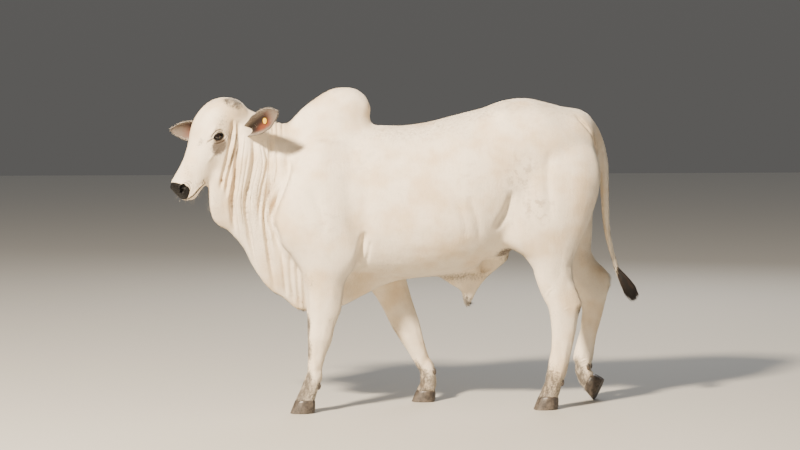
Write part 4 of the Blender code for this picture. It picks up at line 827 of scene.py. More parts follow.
def near_rims(points):
    """Close to the edges of the lids and the nostrils."""
    head = to_head(points)
    along, up = on_lids(head)
    turns = np.linspace(0, 2 * np.pi, 40)
    edge = np.array([lid_edge(turn) for turn in turns])
    from_edge = np.min(np.hypot(along[:, None] - edge[:, 0], up[:, None] - edge[:, 1]), axis=1)
    lids = (from_edge < LID_RIM) & (np.abs(head[:, 1]) > 0.07)
    nostrils = [(away > NOSTRIL_RIM[0]) & (away < NOSTRIL_RIM[1]) for away in from_nostrils(head)]
    return near_head(points) & (lids | np.any(nostrils, axis=0))


for side in (-1, 1):
    place = (EYE_FROM_POLL, side * eye_sideways, 0)
    room = (eye_radius + SOCKET_ROOM) / MM
    cut_out(skin, head_ball("socket", place, (room, room, room), 4))
    cut_out(skin, lid_prism(side))
    for (s, y, z), radii in NOSTRIL_BALLS:
        cut_out(skin, head_ball("nostril", (s, side * y, z), radii, 4))
points, _ = vertex_arrays(skin)
rims = spread(skin, near_rims(points).astype(float), 2)
put_vertices(skin, points + (smoothed(skin, RIM_ROUNDS) - points) * rims[:, None])
print("opened skin:", triangles_of(skin), "triangles")

# %% [markdown]
# The coat of a Nelore is short and lies flat, about 3 mm deep. The skin is drawn in by a part of that, so
# that the tufts over it end where the solids do.

# %% Draw the skin in by the coat's depth
COAT_DEPTH = 1.2 * MM
BARE_NOSE_FROM = 0.44

points, normals = vertex_arrays(skin)
bare = near_rims(points) | (near_head(points) & (to_head(points)[:, 0] > BARE_NOSE_FROM))
depth = COAT_DEPTH * (1 - spread(skin, bare.astype(float), 6))
put_vertices(skin, points - normals * depth[:, None])
smooth_shading(skin)
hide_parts(*flesh_nodes)
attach(skin, "root")
print("the skin stands for", len(flesh_nodes), "nodes")

# %% [markdown]
# The markings. A Nelore is cream white over dark skin. The coat darkens to grey where it is thin or worn: on
# the poll's knob, round the eyes, down the front of the knees and over the fetlocks. Nose and lids
# are bare and nearly black, and behind the thighs lies a faint mottle. Under the belly and in the groin, brown
# is dark skin with painted shade over it. Each marking is a soft blot at a
# place on the body, and its strength is kept at every vertex of the skin. The coat's tufts take theirs from
# the same blots at their roots, so that skin and coat agree.

# %% Where the markings lie
GREY_ON_HEAD = [
    # centre down the face, sideways and out of the brow, three radii, strength
    ((-0.022, 0.062, 0.004), (0.062, 0.058, 0.076), 1.70),
    ((0.100, 0.085, 0.014), (0.085, 0.060, 0.052), 0.50),
    ((0.130, 0.105, -0.050), (0.050, 0.060, 0.050), 0.60),
    ((0.165, 0.105, 0.002), (0.066, 0.060, 0.046), 0.85),
    ((0.236, 0.070, 0.050), (0.046, 0.050, 0.026), 0.55),
    ((0.380, 0.040, 0.020), (0.090, 0.070, 0.050), 0.28),
    ((0.452, 0.030, -0.108), (0.080, 0.060, 0.030), 0.85),
]
BROWN_ON_HEAD = [
    ((0.203, 0.100, -0.032), (0.066, 0.060, 0.052), 1.60),
    ((0.186, 0.100, -0.016), (0.056, 0.060, 0.036), 0.80),
]
GREY_ON_BODY = [
    # centre along, sideways (negative is its left) and up, three radii, strength
    ((-0.500, -0.205, 0.655), (0.050, 0.080, 0.085), 0.42),
    ((-0.518, -0.170, 0.430), (0.040, 0.060, 0.100), 1.40),
    ((-0.513, -0.170, 0.320), (0.034, 0.060, 0.110), 1.10),
    ((-0.028, 0.180, 0.430), (0.022, 0.060, 0.100), 0.70),
    ((-0.040, 0.180, 0.360), (0.045, 0.060, 0.110), 0.45),
    ((0.842, -0.165, 0.498), (0.032, 0.060, 0.045), 0.80),
    ((1.070, 0.170, 0.570), (0.032, 0.060, 0.045), 0.60),
    ((0.700, -0.165, 0.470), (0.035, 0.060, 0.060), 0.30),
    ((-0.560, -0.010, 1.440), (0.200, 0.080, 0.050), 0.16),
    ((-0.740, -0.010, 1.080), (0.230, 0.300, 0.520), 0.36),
    ((-0.240, -0.010, 1.560), (0.120, 0.100, 0.060), 0.14),
    ((0.285, 0.000, 0.535), (0.050, 0.050, 0.048), 1.50),
    ((0.715, 0.000, 0.640), (0.070, 0.070, 0.090), 0.55),
]
BROWN_AND_SHADE_ON_BODY = [
    # the first four blots are painted shade over dark skin, in the groin and under the belly
    ((0.500, -0.120, 0.765), (0.100, 0.110, 0.060), 1.50),
    ((0.500, 0.120, 0.765), (0.100, 0.110, 0.060), 1.50),
    ((0.600, 0.000, 0.780), (0.200, 0.120, 0.130), 1.10),
    ((0.250, 0.000, 0.660), (0.260, 0.100, 0.050), 0.60),
    ((-0.130, -0.180, 0.720), (0.060, 0.060, 0.090), 0.20),
    ((0.990, 0.170, 0.160), (0.080, 0.080, 0.100), 0.45),
]
MOTTLE_ON_BODY = [
    ((0.520, -0.290, 1.170), (0.150, 0.160, 0.170), 1.0),
    ((0.610, -0.280, 1.010), (0.130, 0.160, 0.130), 1.0),
    ((0.520, 0.290, 1.150), (0.160, 0.160, 0.200), 0.9),
    ((-0.250, -0.250, 1.270), (0.220, 0.200, 0.160), 0.35),
    ((-0.440, -0.260, 0.960), (0.180, 0.200, 0.180), 0.35),
    ((0.280, -0.300, 1.160), (0.110, 0.160, 0.140), 0.45),
]
TEAR_LINE = [(0.184, 0.016), (0.2214, 0.028), (0.2395, 0.0354)]
NOSE_LINE = [
    # out of the brow, down the face
    (0.10, 0.468), (0.012, 0.455), (-0.012, 0.450), (-0.030, 0.458), (-0.042, 0.480), (-0.056, 0.500),
]
LEG_GREY_TOP = 0.235
LEG_GREY_DEPTH = 0.115
LEG_GREY_SLANT = 0.045
LEG_GREY_RAGGED = 0.02
MOTTLE_ALL_OVER = 0.12
SPECKLE_FROM = (0.33, 0.42)
NOSE_SOFTNESS = (-0.005, 0.003)
TEAR_WIDTH = 2.6 * MM
LIP_DARK_WIDTH = 5 * MM
STREAK_WIDTH = 6 * MM
STREAK_STRENGTH = 0.42
TAIL_STREAKS = [
    [(0.835, 1.462), (0.862, 1.432), (0.884, 1.412)],
    [(0.893, 1.424), (0.901, 1.398)],
    [(0.903, 1.398), (0.926, 1.352), (0.936, 1.318)],
    [(0.925, 1.374), (0.931, 1.350)],
    [(0.944, 1.340), (0.950, 1.310)],
]

# %% [markdown]
# Shade falls into the skin's folds, and it is painted there: one marking, painted shade, is worked out from
# the shape. Smoothing moves a vertex by how hollow the surface is there: out of a groove, and into a ridge.
# Divided by the squared size of the faces, that is the same for fine and for coarse parts of the mesh.

# %% How hollow the skin is
CREASE_ROUNDS = 4
CREASE_BEND = (14, 90)


def bend_of(obj):
    """How hollow the surface is at each vertex, as one over its radius in metres, and negative on ridges."""
    points, normals = vertex_arrays(obj)
    first, second = edge_ends(obj)
    lengths = np.linalg.norm(points[first] - points[second], axis=1)
    size = len(points)
    total = np.bincount(first, lengths, size) + np.bincount(second, lengths, size)
    count = np.bincount(first, minlength=size) + np.bincount(second, minlength=size)
    spacing = spread(obj, total / count, 4)
    hollow = np.einsum("ij,ij->i", smoothed(obj, CREASE_ROUNDS) - points, normals)
    return spread(obj, hollow * 8 / (CREASE_ROUNDS * spacing**2), 3)

# %% [markdown]
# The strength of every marking is a formula of the place on the body. Most are the strongest of some blots.
# The grey of the feet rises higher in front, the nose ends along a line drawn in side view, and
# the lids and lips are dark within a few millimetres of their edges.

# %% Markings as soft blots
def blots(points, marks, mirrored=False):
    """How strong a list of blots is at each point."""
    value = np.zeros(len(points))
    for centre, radii, strength in marks:
        for side in ((-1, 1) if mirrored else (1,)):
            away = np.linalg.norm((points - np.array(centre) * (1, side, 1)) / radii, axis=1)
            value = np.maximum(value, strength * falloff(away))
    return np.clip(value, 0, 1)


def soft_step(value, low, high):
    """Zero below low, one above high and a soft rise between."""
    t = np.clip((value - low) / (high - low), 0, 1)
    return t * t * (3 - 2 * t)


def markings(points, normals):
    """The strength of each marking at some points of the skin."""
    head = to_head(points)
    on_head = soft_step(head[:, 0], -0.16, -0.06) * (np.abs(head[:, 1]) < HEAD_HALF_WIDTH)
    on_head *= head[:, 2] > HEAD_UNDER - 0.02
    marks = {}
    grey = np.maximum(blots(points, GREY_ON_BODY), on_head * blots(head, GREY_ON_HEAD, True))
    ragged = LEG_GREY_RAGGED * np.sin(60 * points[:, 1]) * np.sin(45 * points[:, 0])
    leg_top = LEG_GREY_TOP - LEG_GREY_SLANT * normals[:, 0] + ragged
    front = 0.62 + 0.38 * np.clip(-1.4 * normals[:, 0] + 0.2, 0, 1)
    marks["grey"] = np.maximum(grey, front * soft_step(leg_top - points[:, 2], 0, LEG_GREY_DEPTH))
    marks["brown"] = np.maximum(blots(points, BROWN_AND_SHADE_ON_BODY), on_head * blots(head, BROWN_ON_HEAD, True))
    marks["mottle"] = np.maximum(blots(points, MOTTLE_ON_BODY), MOTTLE_ALL_OVER)
    marks["speckle"] = on_head * soft_step(head[:, 0], *SPECKLE_FROM)
    nose_from = np.interp(-head[:, 2], [-z for z, _ in NOSE_LINE], [s for _, s in NOSE_LINE])
    nose = soft_step(head[:, 0] - nose_from, *NOSE_SOFTNESS) * (head[:, 2] > -0.055)
    along, up = on_lids(head)
    reach = np.hypot(along / (LID_LENGTH + 3 * MM), up / (LID_UPPER + 2 * MM))
    lids = soft_step(-reach, -1.14, -0.94) * (np.abs(head[:, 1]) > 0.06)
    tear, tear_end = line_distance(head[:, [0, 2]], between(TEAR_LINE, 6))
    tears = 0.8 * np.exp(-((tear / TEAR_WIDTH) ** 2)) * (np.abs(head[:, 1]) > 0.05) * (1 - 0.8 * tear_end)
    lips, _ = line_distance(points, lip_line)
    lip_dark = 0.85 * np.exp(-((lips / LIP_DARK_WIDTH) ** 2))
    streaks = np.zeros(len(points))
    for path in TAIL_STREAKS:
        off, _ = line_distance(points[:, [0, 2]], between(path, 6))
        streaks = np.maximum(streaks, np.exp(-((off / STREAK_WIDTH) ** 2)))
    streaks *= np.clip(np.abs(normals[:, 1]) * 2, 0, 1)
    nose = np.maximum.reduce([nose] + [soft_step(-away, -1.16, -1.04) for away in from_nostrils(head)])
    face_dark = on_head * np.maximum.reduce([nose, lids, tears, lip_dark])
    marks["dark"] = np.maximum(face_dark, STREAK_STRENGTH * streaks)
    marks["leather"] = on_head * nose
    marks["face"] = on_head
    x, _, z = points.T
    marks["downwards"] = np.maximum.reduce([soft_step(-z, -0.95, -0.66), soft_step(-x, 0.52, 0.66),
                                            0.8 * soft_step(x, 0.75, 0.95)])
    return marks


def paint(obj, marks):
    """Keeps the strength of each marking at the vertices of an object."""
    for name, values in marks.items():
        layer = obj.data.attributes.new(name, "FLOAT", "POINT")
        layer.data.foreach_set("value", values.astype(np.float32))


skin_marks = markings(*vertex_arrays(skin))
skin_bend = bend_of(skin)
# painted shade in the folds: the more hollow the skin, the darker its colour
skin_marks["crease"] = soft_step(skin_bend, *CREASE_BEND)
paint(skin, skin_marks)
print("markings:", {name: round(float(values.mean()), 3) for name, values in skin_marks.items()})

# %% [markdown]
# The eyes. A bull's eyeball is nearly all dark brown iris with a wide, level pupil, and the clear cornea in
# front bulges a little. It is a sphere with its pole turned to look outwards and a little forwards, whose
# front is pushed out. Each vertex keeps its place round the line of sight, so that the iris is painted on
# the ball and stays there from every side.

# %% Eyeballs
EYE_FORWARD = math.radians(18)
CORNEA_REACH = math.radians(38)
CORNEA_BULGE = 1.6 * MM
BALL_ROOM = 0.15 * MM


def eyeball(side_name, side):
    look = (math.cos(EYE_FORWARD) * side * head_left + math.sin(EYE_FORWARD) * down_face).normalized()
    level = (math.cos(EYE_TILT) * down_face + math.sin(EYE_TILT) * out_of_brow)
    level = (level - level.dot(look) * look).normalized()
    turn = Matrix((level, look.cross(level), look)).transposed().to_4x4()
    bpy.ops.mesh.primitive_uv_sphere_add(segments=48, ring_count=32, radius=eye_radius - BALL_ROOM)
    ball = bpy.context.object
    ball.name = f"eyeball_{side_name}"
    points, normals = vertex_arrays(ball)
    from_axis = np.arctan2(np.hypot(points[:, 0], points[:, 1]), points[:, 2])
    bulge = CORNEA_BULGE * falloff(from_axis / CORNEA_REACH)
    painted = ball.data.attributes.new("eye_place", "FLOAT_VECTOR", "POINT")
    painted.data.foreach_set("vector", (points / eye_radius).astype(np.float32).ravel())
    put_vertices(ball, points + normals * bulge[:, None])
    ball.data.transform(Matrix.Translation(eye_places[side_name]) @ turn)
    smooth_shading(ball)
    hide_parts(f"eye_{side_name}")
    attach(ball, "root")
    return ball


eyeballs = [eyeball("left", 1), eyeball("right", -1)]
print("eyeballs:", [triangles_of(ball) for ball in eyeballs], "triangles")

# %% [markdown]
# The ears. A Nelore's ear is a lance-shaped leaf, rolled at its root into a funnel and opening to a shallow
# cup, with low ridges of cartilage inside. It starts as a flat grid, which a formula rolls up: the table
# gives how wide and how deep the cup is along the ear. Solidify then gives it the thickness of an ear, and
# one level of subdivision rounds its rim.

# %% Ears
EAR_BASE = (0.052, 0.104, -0.126)
EAR_WAY = {"left": (-0.011, 0.264, 0.097), "right": (0.242, -0.148, 0.004)}
EAR_ROWS = [
    # way along the ear, half width, cup depth
    (-0.030, 0.020, 0.024),
    (-0.015, 0.024, 0.030),
    (0.025, 0.031, 0.040),
    (0.062, 0.041, 0.039),
    (0.105, 0.050, 0.035),
    (0.150, 0.053, 0.029),
    (0.192, 0.050, 0.022),
    (0.230, 0.038, 0.013),
    (0.260, 0.019, 0.006),
    (0.279, 0.0035, 0.0015),
]
EAR_ACROSS = 22
EAR_LENGTHWAYS = 54
EAR_THICKNESS = 3.6 * MM
RIDGES = ((-0.45, 1.6), (0.0, 2.0), (0.42, 1.5))
RIDGE_WIDTH = 0.14
RIM_WAVE = 1.2 * MM


def ear_axes(side_name):
    """Where an ear grows from the head, the way that it points, across it, and the way its cup opens."""
    sign = 1 if side_name == "left" else -1
    forward, leftward, upward = EAR_WAY[side_name]
    axis = (forward * head_forward + leftward * head_left + upward * UP).normalized()
    opens = head_forward - 0.15 * UP
    opens = (opens - opens.dot(axis) * axis).normalized()
    across = opens.cross(axis)
    if across.z < 0:
        across = -across
    base = Vector(from_head(np.array((EAR_BASE[0], sign * EAR_BASE[1], EAR_BASE[2]))))
    return base, axis, across, opens


def ear(side_name, chance):
    base, axis, across, opens = ear_axes(side_name)
    bpy.ops.mesh.primitive_grid_add(x_subdivisions=EAR_ACROSS, y_subdivisions=EAR_LENGTHWAYS, size=2)
    leaf = bpy.context.object
    leaf.name = f"soft_ear_{side_name}"
    flat, _ = vertex_arrays(leaf)
    rows = between(EAR_ROWS, 6)
    place = (flat[:, 1] + 1) / 2 * (len(rows) - 1)
    along, half, cup = (np.interp(place, np.arange(len(rows)), rows[:, k]) for k in range(3))
    share = np.sin(flat[:, 0] * math.pi / 2)
    phase = chance.uniform(0, 6)
    wave = RIM_WAVE * np.sin(along * 90 + phase) * share**4 * np.clip(along / 0.06, 0, 1)
    deep = cup * (share**2 - 0.5) + EAR_THICKNESS / 2
    for middle, height in RIDGES:
        reach = (share - middle) / RIDGE_WIDTH
        deep += height * MM * np.exp(-(reach**2)) * np.clip(1.25 - along / 0.20, 0, 1)
    points = np.array(base) + along[:, None] * np.array(axis)
    points += (half * share + wave * 0.5)[:, None] * np.array(across)
    points += (deep + wave)[:, None] * np.array(opens)
    put_vertices(leaf, points)
    ear_place = leaf.data.attributes.new("ear_place", "FLOAT_VECTOR", "POINT")
    on_ear = np.column_stack([share, along, 0 * along]).astype(np.float32)
    ear_place.data.foreach_set("vector", on_ear.ravel())
    wall = leaf.modifiers.new("wall", "SOLIDIFY")
    wall.thickness = EAR_THICKNESS
    wall.offset = 0
    wall.use_quality_normals = True
    apply_modifiers(leaf)
    in_edit_mode(leaf, bpy.ops.mesh.normals_make_consistent, inside=False)
    rounding = leaf.modifiers.new("rounding", "SUBSURF")
    rounding.levels = 1
    rounding.render_levels = 1
    apply_modifiers(leaf)
    _, normals = vertex_arrays(leaf)
    paint(leaf, {"inner": spread(leaf, (normals @ np.array(opens) > 0).astype(float), 1)})
    smooth_shading(leaf)
    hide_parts(f"ear_{side_name}")
    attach(leaf, "root")
    return leaf


ears = {name: ear(name, fold_chance) for name in ("left", "right")}
print("ears:", {name: triangles_of(leaf) for name, leaf in ears.items()}, "triangles")

# %% [markdown]
# The tag is a small round plastic button on a stem through the left ear, with a second button behind. Each
# button is a cylinder: its face is inset and pressed in, which leaves a raised rim, and its edges are
# bevelled. It bears no number.

# %% Ear tag
TAG_ALONG = 0.150
TAG_RADIUS = 14.5 * MM
TAG_THICKNESS = 3.5 * MM
TAG_STAND_OFF = 5.0 * MM
TAG_RIM = 3.0 * MM
TAG_STEM = 3.2 * MM


def button(radius, thickness, centre, way):
    """A round button whose front, along way, has a raised rim and a boss in the middle."""
    bpy.ops.mesh.primitive_cylinder_add(vertices=48, radius=radius, depth=thickness)
    disc = bpy.context.object
    bpy.ops.object.mode_set(mode="EDIT")
    shape = bmesh.from_edit_mesh(disc.data)
    for face in shape.faces:
        face.select_set(face.normal.z > 0.9)
    bmesh.update_edit_mesh(disc.data)
    bpy.ops.mesh.inset(thickness=TAG_RIM, depth=0)
    bpy.ops.mesh.inset(thickness=0.6 * MM, depth=-0.9 * MM)
    bpy.ops.mesh.inset(thickness=radius * 0.40, depth=0)
    bpy.ops.mesh.inset(thickness=0.6 * MM, depth=0.7 * MM)
    bpy.ops.object.mode_set(mode="OBJECT")
    edges = disc.modifiers.new("edges", "BEVEL")
    edges.width = 0.35 * MM
    edges.segments = 2
    apply_modifiers(disc)
    disc.data.transform(Matrix.Translation(centre) @ way.to_track_quat("Z", "Y").to_matrix().to_4x4())
    return disc


base, axis, _, opens = ear_axes("left")
cup_there = float(np.interp(TAG_ALONG, [row[0] for row in EAR_ROWS], [row[2] for row in EAR_ROWS]))
ear_middle = base + TAG_ALONG * axis
tag_front = ear_middle + (-cup_there / 2 + EAR_THICKNESS + TAG_STAND_OFF + TAG_THICKNESS / 2) * opens
tag_rear = ear_middle - (cup_there / 2 + TAG_STAND_OFF + TAG_THICKNESS / 2) * opens
bpy.ops.mesh.primitive_cylinder_add(vertices=24, radius=TAG_STEM, depth=(tag_front - tag_rear).length)
stem = bpy.context.object
stem_turn = opens.to_track_quat("Z", "Y").to_matrix().to_4x4()
stem.data.transform(Matrix.Translation((tag_front + tag_rear) / 2) @ stem_turn)
tag = button(TAG_RADIUS, TAG_THICKNESS, tag_front, opens)
tag.name = "yellow_tag"
join_into(tag, [stem, button(0.9 * TAG_RADIUS, TAG_THICKNESS, tag_rear, -opens)])
bpy.ops.object.shade_smooth_by_angle(angle=math.radians(40))
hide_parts("ear_tag")
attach(tag, "root")
print("tag:", triangles_of(tag), "triangles")

# %% [markdown]
# The claws. Each foot stands on two horn capsules, which grow down from the coronet about 5 mm a month and
# keep a ring for each season. They could be lofted anew, but the solids' claws already stand as they should.
# So each is filled with a finer grid and evened, and the rings are sunk into its wall along lines of
# equal distance from the coronet. The sole stays flat.

# %% Claws and dewclaws
HORN_GRID = 2.3 * MM
HORN_ROUNDS = 7
RING_SPACING = 6.5 * MM
RING_DEPTH = 0.45 * MM
CORONET_SWELL = 1.6 * MM
CORONET_REACH = 9 * MM
TUCKED_TOP = 3.5 * MM
TUCK_UP = 6 * MM
TUCK_IN = 0.05
DEWCLAW_TAPER = 0.30
DEWCLAW_DROP = np.array((-1.0, 0, -7.0)) * MM
DEWCLAW_TO_LEG = -8 * MM
FEET = ("left_fore", "right_fore", "left_hind", "right_hind")


def horn_piece(node, foot, rounds, ringed):
    """A fine copy of a claw or a dewclaw, with its growth rings."""
    made = copy_of_nodes("horn_" + node, [node])
    grid = made.modifiers.new("grid", "REMESH")
    grid.mode = "VOXEL"
    grid.voxel_size = HORN_GRID if ringed else 0.6 * HORN_GRID
    apply_modifiers(made)
    points, normals = vertex_arrays(made)
    on_ground = points[:, 2] < 1.2 * MM
    soft = evened(made, rounds)
    soft[on_ground, 2] = points[on_ground, 2]
    put_vertices(made, soft)
    if not ringed:
        soft = soft + (DEWCLAW_TO_LEG, 0, 0)
        low, high = soft[:, 2].min(), soft[:, 2].max()
        middle = soft.mean(axis=0)
        lower = np.clip((high - soft[:, 2]) / (high - low), 0, 1)[:, None]
        soft = middle + (soft - middle) * (1 - DEWCLAW_TAPER * lower) + lower * DEWCLAW_DROP
        put_vertices(made, soft)
    points, normals = vertex_arrays(made)
    tree = search_tree(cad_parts[foot + "_shank"])
    below = np.array([tree.find_nearest(Vector(point))[3] for point in points])
    if ringed:
        top = below < TUCKED_TOP
        upwards = unit((points[top].mean(axis=0) - points.mean(axis=0))[None])[0]
        share = soft_step(-below, -TUCKED_TOP, -0.5 * MM)[:, None]
        inwards = points[top].mean(axis=0) - points
        points += share * (upwards * TUCK_UP + inwards * TUCK_IN)
        wobble = 0.8 * np.sin(9 * points[:, 0] / 0.05) + 0.6 * np.sin(7 * points[:, 1] / 0.05)
        rings = np.sin(2 * np.pi * below / RING_SPACING + wobble) * np.clip(below / CORONET_REACH, 0, 1)
        swelling = CORONET_SWELL * np.exp(-((below / CORONET_REACH) ** 2))
        wall = np.clip(1 - np.abs(normals[:, 2]) * 1.4, 0, 1) * ~on_ground
        points += normals * ((RING_DEPTH * rings + swelling) * wall)[:, None]
        put_vertices(made, points)
    paint(made, {"below_coronet": below})
    smooth_shading(made)
    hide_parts(node)
    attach(made, "root")
    return made


horn_pieces = []
for foot in FEET:
    for part in ("outer", "inner"):
        horn_pieces.append(horn_piece(f"{foot}_claw_{part}", foot, HORN_ROUNDS, True))
        horn_pieces.append(horn_piece(f"{foot}_dewclaw_{part}", foot, 3, False))
print(len(horn_pieces), "pieces of horn,", sum(triangles_of(piece) for piece in horn_pieces), "triangles")

# %% [markdown]
# Long hair is made of spindles: a line of centres with a few rings of corners around it, closed to a point at
# both ends. Curves with a bevel would be quicker to draw, but hundreds of them are slow to convert, so
# the corners are worked out directly and become one mesh.

# %% Spindles of hair
LOCK_SIDES = 3


def tube_faces(count, rings, sides):
    """The faces of some closed spindles whose corners come ring by ring, with one corner at each end."""
    faces = []
    for k in range(count):
        start = k * (rings * sides + 2)
        first, last = start, start + rings * sides + 1
        for j in range(sides):
            after = (j + 1) % sides
            faces.append((first, start + 1 + after, start + 1 + j))
            for i in range(rings - 1):
                low, high = start + 1 + i * sides, start + 1 + (i + 1) * sides
                faces.append((low + j, low + after, high + after, high + j))
            end = start + 1 + (rings - 1) * sides
            faces.append((end + j, end + after, last))
    return faces


def spindle(centres, radii, sides):
    """The corners of one closed spindle around a line of centres, whose first and last are its ends."""
    corners = [centres[0]]
    for i in range(1, len(centres) - 1):
        way = centres[i + 1] - centres[i - 1]
        way = way / np.linalg.norm(way)
        across = np.cross(way, (0.31, 0.93, 0.2))
        across = across / np.linalg.norm(across)
        out = np.cross(way, across)
        for j in range(sides):
            angle = 2 * np.pi * j / sides
            corners.append(centres[i] + radii[i] * (across * np.cos(angle) + out * np.sin(angle)))
    corners.append(centres[-1])
    return corners


def hair_object(name, corners, faces):
    """One mesh of many small closed shapes, smooth all over."""
    mesh = bpy.data.meshes.new(name)
    mesh.from_pydata([tuple(corner) for corner in corners], [], faces)
    mesh.update()
    made = mesh_object(name, mesh)
    in_edit_mode(made, bpy.ops.mesh.normals_make_consistent, inside=False)
    smooth_shading(made)
    return made


# %% [markdown]
# The tail ends in a switch: a tuft of coarse black hair as long as a hand, which hangs together in locks and
# swings a little to the rear as the bull walks. Each lock here stands for some twenty hairs. It is a thin
# closed spindle that starts somewhere along the tail's last stretch, bulges out with the tuft and is
# drawn in again where the tips cling together.

# %% Tail switch
TAIL_TIP = Vector((1.062, 0.008, 0.690))
SWITCH_WAY = Vector((0.112, 0.0, -0.168))
SWITCH_ROWS = [
    # share of the way down, radius
    (-0.10, 0.009), (0.05, 0.012), (0.22, 0.019), (0.45, 0.028), (0.70, 0.033), (0.90, 0.028), (1.0, 0.018),
]
SWITCH_LOCKS = 700
STRAY_SHARE = 0.12
STRAY_SPREAD = 0.012
SPIRAL_TURN = 2.39996
LOCK_WAVE = 1.6 * MM
SWITCH_DROOP = 0.010
LOCK_RADIUS = 1.5 * MM
LOCK_RINGS = 8

switch_chance = np.random.default_rng(11)
switch_side = np.array((0, 1.0, 0))
switch_down = np.array(SWITCH_WAY.normalized())
switch_out = np.cross(switch_down, switch_side)
switch_rows = np.array(SWITCH_ROWS)
corners = []
shades = []
for k in range(SWITCH_LOCKS):
    spot = math.sqrt((k + 0.5) / SWITCH_LOCKS)
    turn = k * SPIRAL_TURN + switch_chance.uniform(-0.3, 0.3)
    start = switch_chance.uniform(-0.10, 0.35) if spot > 0.5 else switch_chance.uniform(0.0, 0.45)
    end = min(start + switch_chance.uniform(0.45, 0.85), 1.02 - 0.14 * spot * switch_chance.random())
    shares = np.linspace(start, end, LOCK_RINGS + 2)
    radii = np.interp(shares, switch_rows[:, 0], switch_rows[:, 1]) * spot
    if switch_chance.random() < STRAY_SHARE:
        radii += STRAY_SPREAD * np.clip(shares - 0.15, 0, 1) * switch_chance.uniform(0.4, 1.6)
    swirl = turn + switch_chance.uniform(-0.5, 0.5) * (shares - start)
    wave = LOCK_WAVE * np.sin(shares * switch_chance.uniform(8, 14) + switch_chance.uniform(0, 6))
    centres = np.array(TAIL_TIP) + shares[:, None] * np.array(SWITCH_WAY)
    centres += radii[:, None] * (np.cos(swirl)[:, None] * switch_side + np.sin(swirl)[:, None] * switch_out)
    centres += wave[:, None] * (switch_side * math.sin(turn) - switch_out * math.cos(turn))
    centres[:, 0] -= SWITCH_DROOP * np.clip(shares, 0, 1) ** 2
    bulge = np.sin(np.pi * np.linspace(0.06, 0.97, len(shares))) ** 0.7
    thickness = LOCK_RADIUS * switch_chance.uniform(0.6, 1.2) * bulge
    corners += spindle(centres, thickness, LOCK_SIDES)
    shades += [switch_chance.random()] * (LOCK_RINGS * LOCK_SIDES + 2)
switch = hair_object("tail_tuft", corners, tube_faces(SWITCH_LOCKS, LOCK_RINGS, LOCK_SIDES))
paint(switch, {"shade": np.array(shades)})
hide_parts("tail_switch")
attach(switch, "root")
print("switch:", SWITCH_LOCKS, "locks,", triangles_of(switch), "triangles")

# %% [markdown]
# The tufts. Sleek hair lies so flat that most of it is bump, but where the coat breaks the outline it
# is made as mesh: under the dewlap and the belly, along the back, behind the legs, over the hooves, on the
# poll and at the tip of the sheath. Particle hair would be the quick way and can't be exported, so each
# tuft is a thin closed blade of seven corners. All are worked out at once with arrays. A root is a random
# place on the skin, chosen more often where the coat is dense, and the blade's middle and tip are laid on
# the skin again, so that it follows the folds.

# %% Random places on a surface
chance = np.random.default_rng(21)


def triangle_corners(obj):
    """The three corners of each triangle, as numbers of vertices."""
    obj.data.calc_loop_triangles()
    corners = np.empty(len(obj.data.loop_triangles) * 3, dtype=np.int64)
    obj.data.loop_triangles.foreach_get("vertices", corners)
    return corners.reshape(-1, 3)


def scattered(obj, density, count):
    """Random places on a surface: the corners of their triangles and the share of each corner."""
    points, _ = vertex_arrays(obj)
    corners = triangle_corners(obj)
    a, b, c = (points[corners[:, i]] for i in range(3))
    area = np.linalg.norm(np.cross(b - a, c - a), axis=1) / 2
    weight = area * density[corners].mean(axis=1)
    chosen = corners[chance.choice(len(corners), size=count, p=weight / weight.sum())]
    first, second = chance.random((2, count))
    outside = first + second > 1
    first[outside], second[outside] = 1 - first[outside], 1 - second[outside]
    return chosen, np.column_stack([1 - first - second, first, second])


def at_roots(values, chosen, shares):
    """A value of the vertices, at scattered places."""
    if values.ndim == 1:
        return (values[chosen] * shares).sum(axis=1)
    return (values[chosen] * shares[:, :, None]).sum(axis=1)

# %% [markdown]
# A Nelore's coat isn't the same all over. It is shortest and densest on the face and the lower legs, longer
# along the crest, the dewlap and the belly, and stands off most over the hooves, at the tail and at the tip
# of the sheath. A table says by how much, and each zone is blurred so that no line shows at its edge.

# %% Where the coat is long and dense
ZONE_BLUR = 8
TUFT_SIZE_MM = (13.0, 2.3, 0.65)
SHEATH_TIP = (0.285, 0.0, 0.530)
SHEATH_REACH = (0.055, 0.055, 0.060)


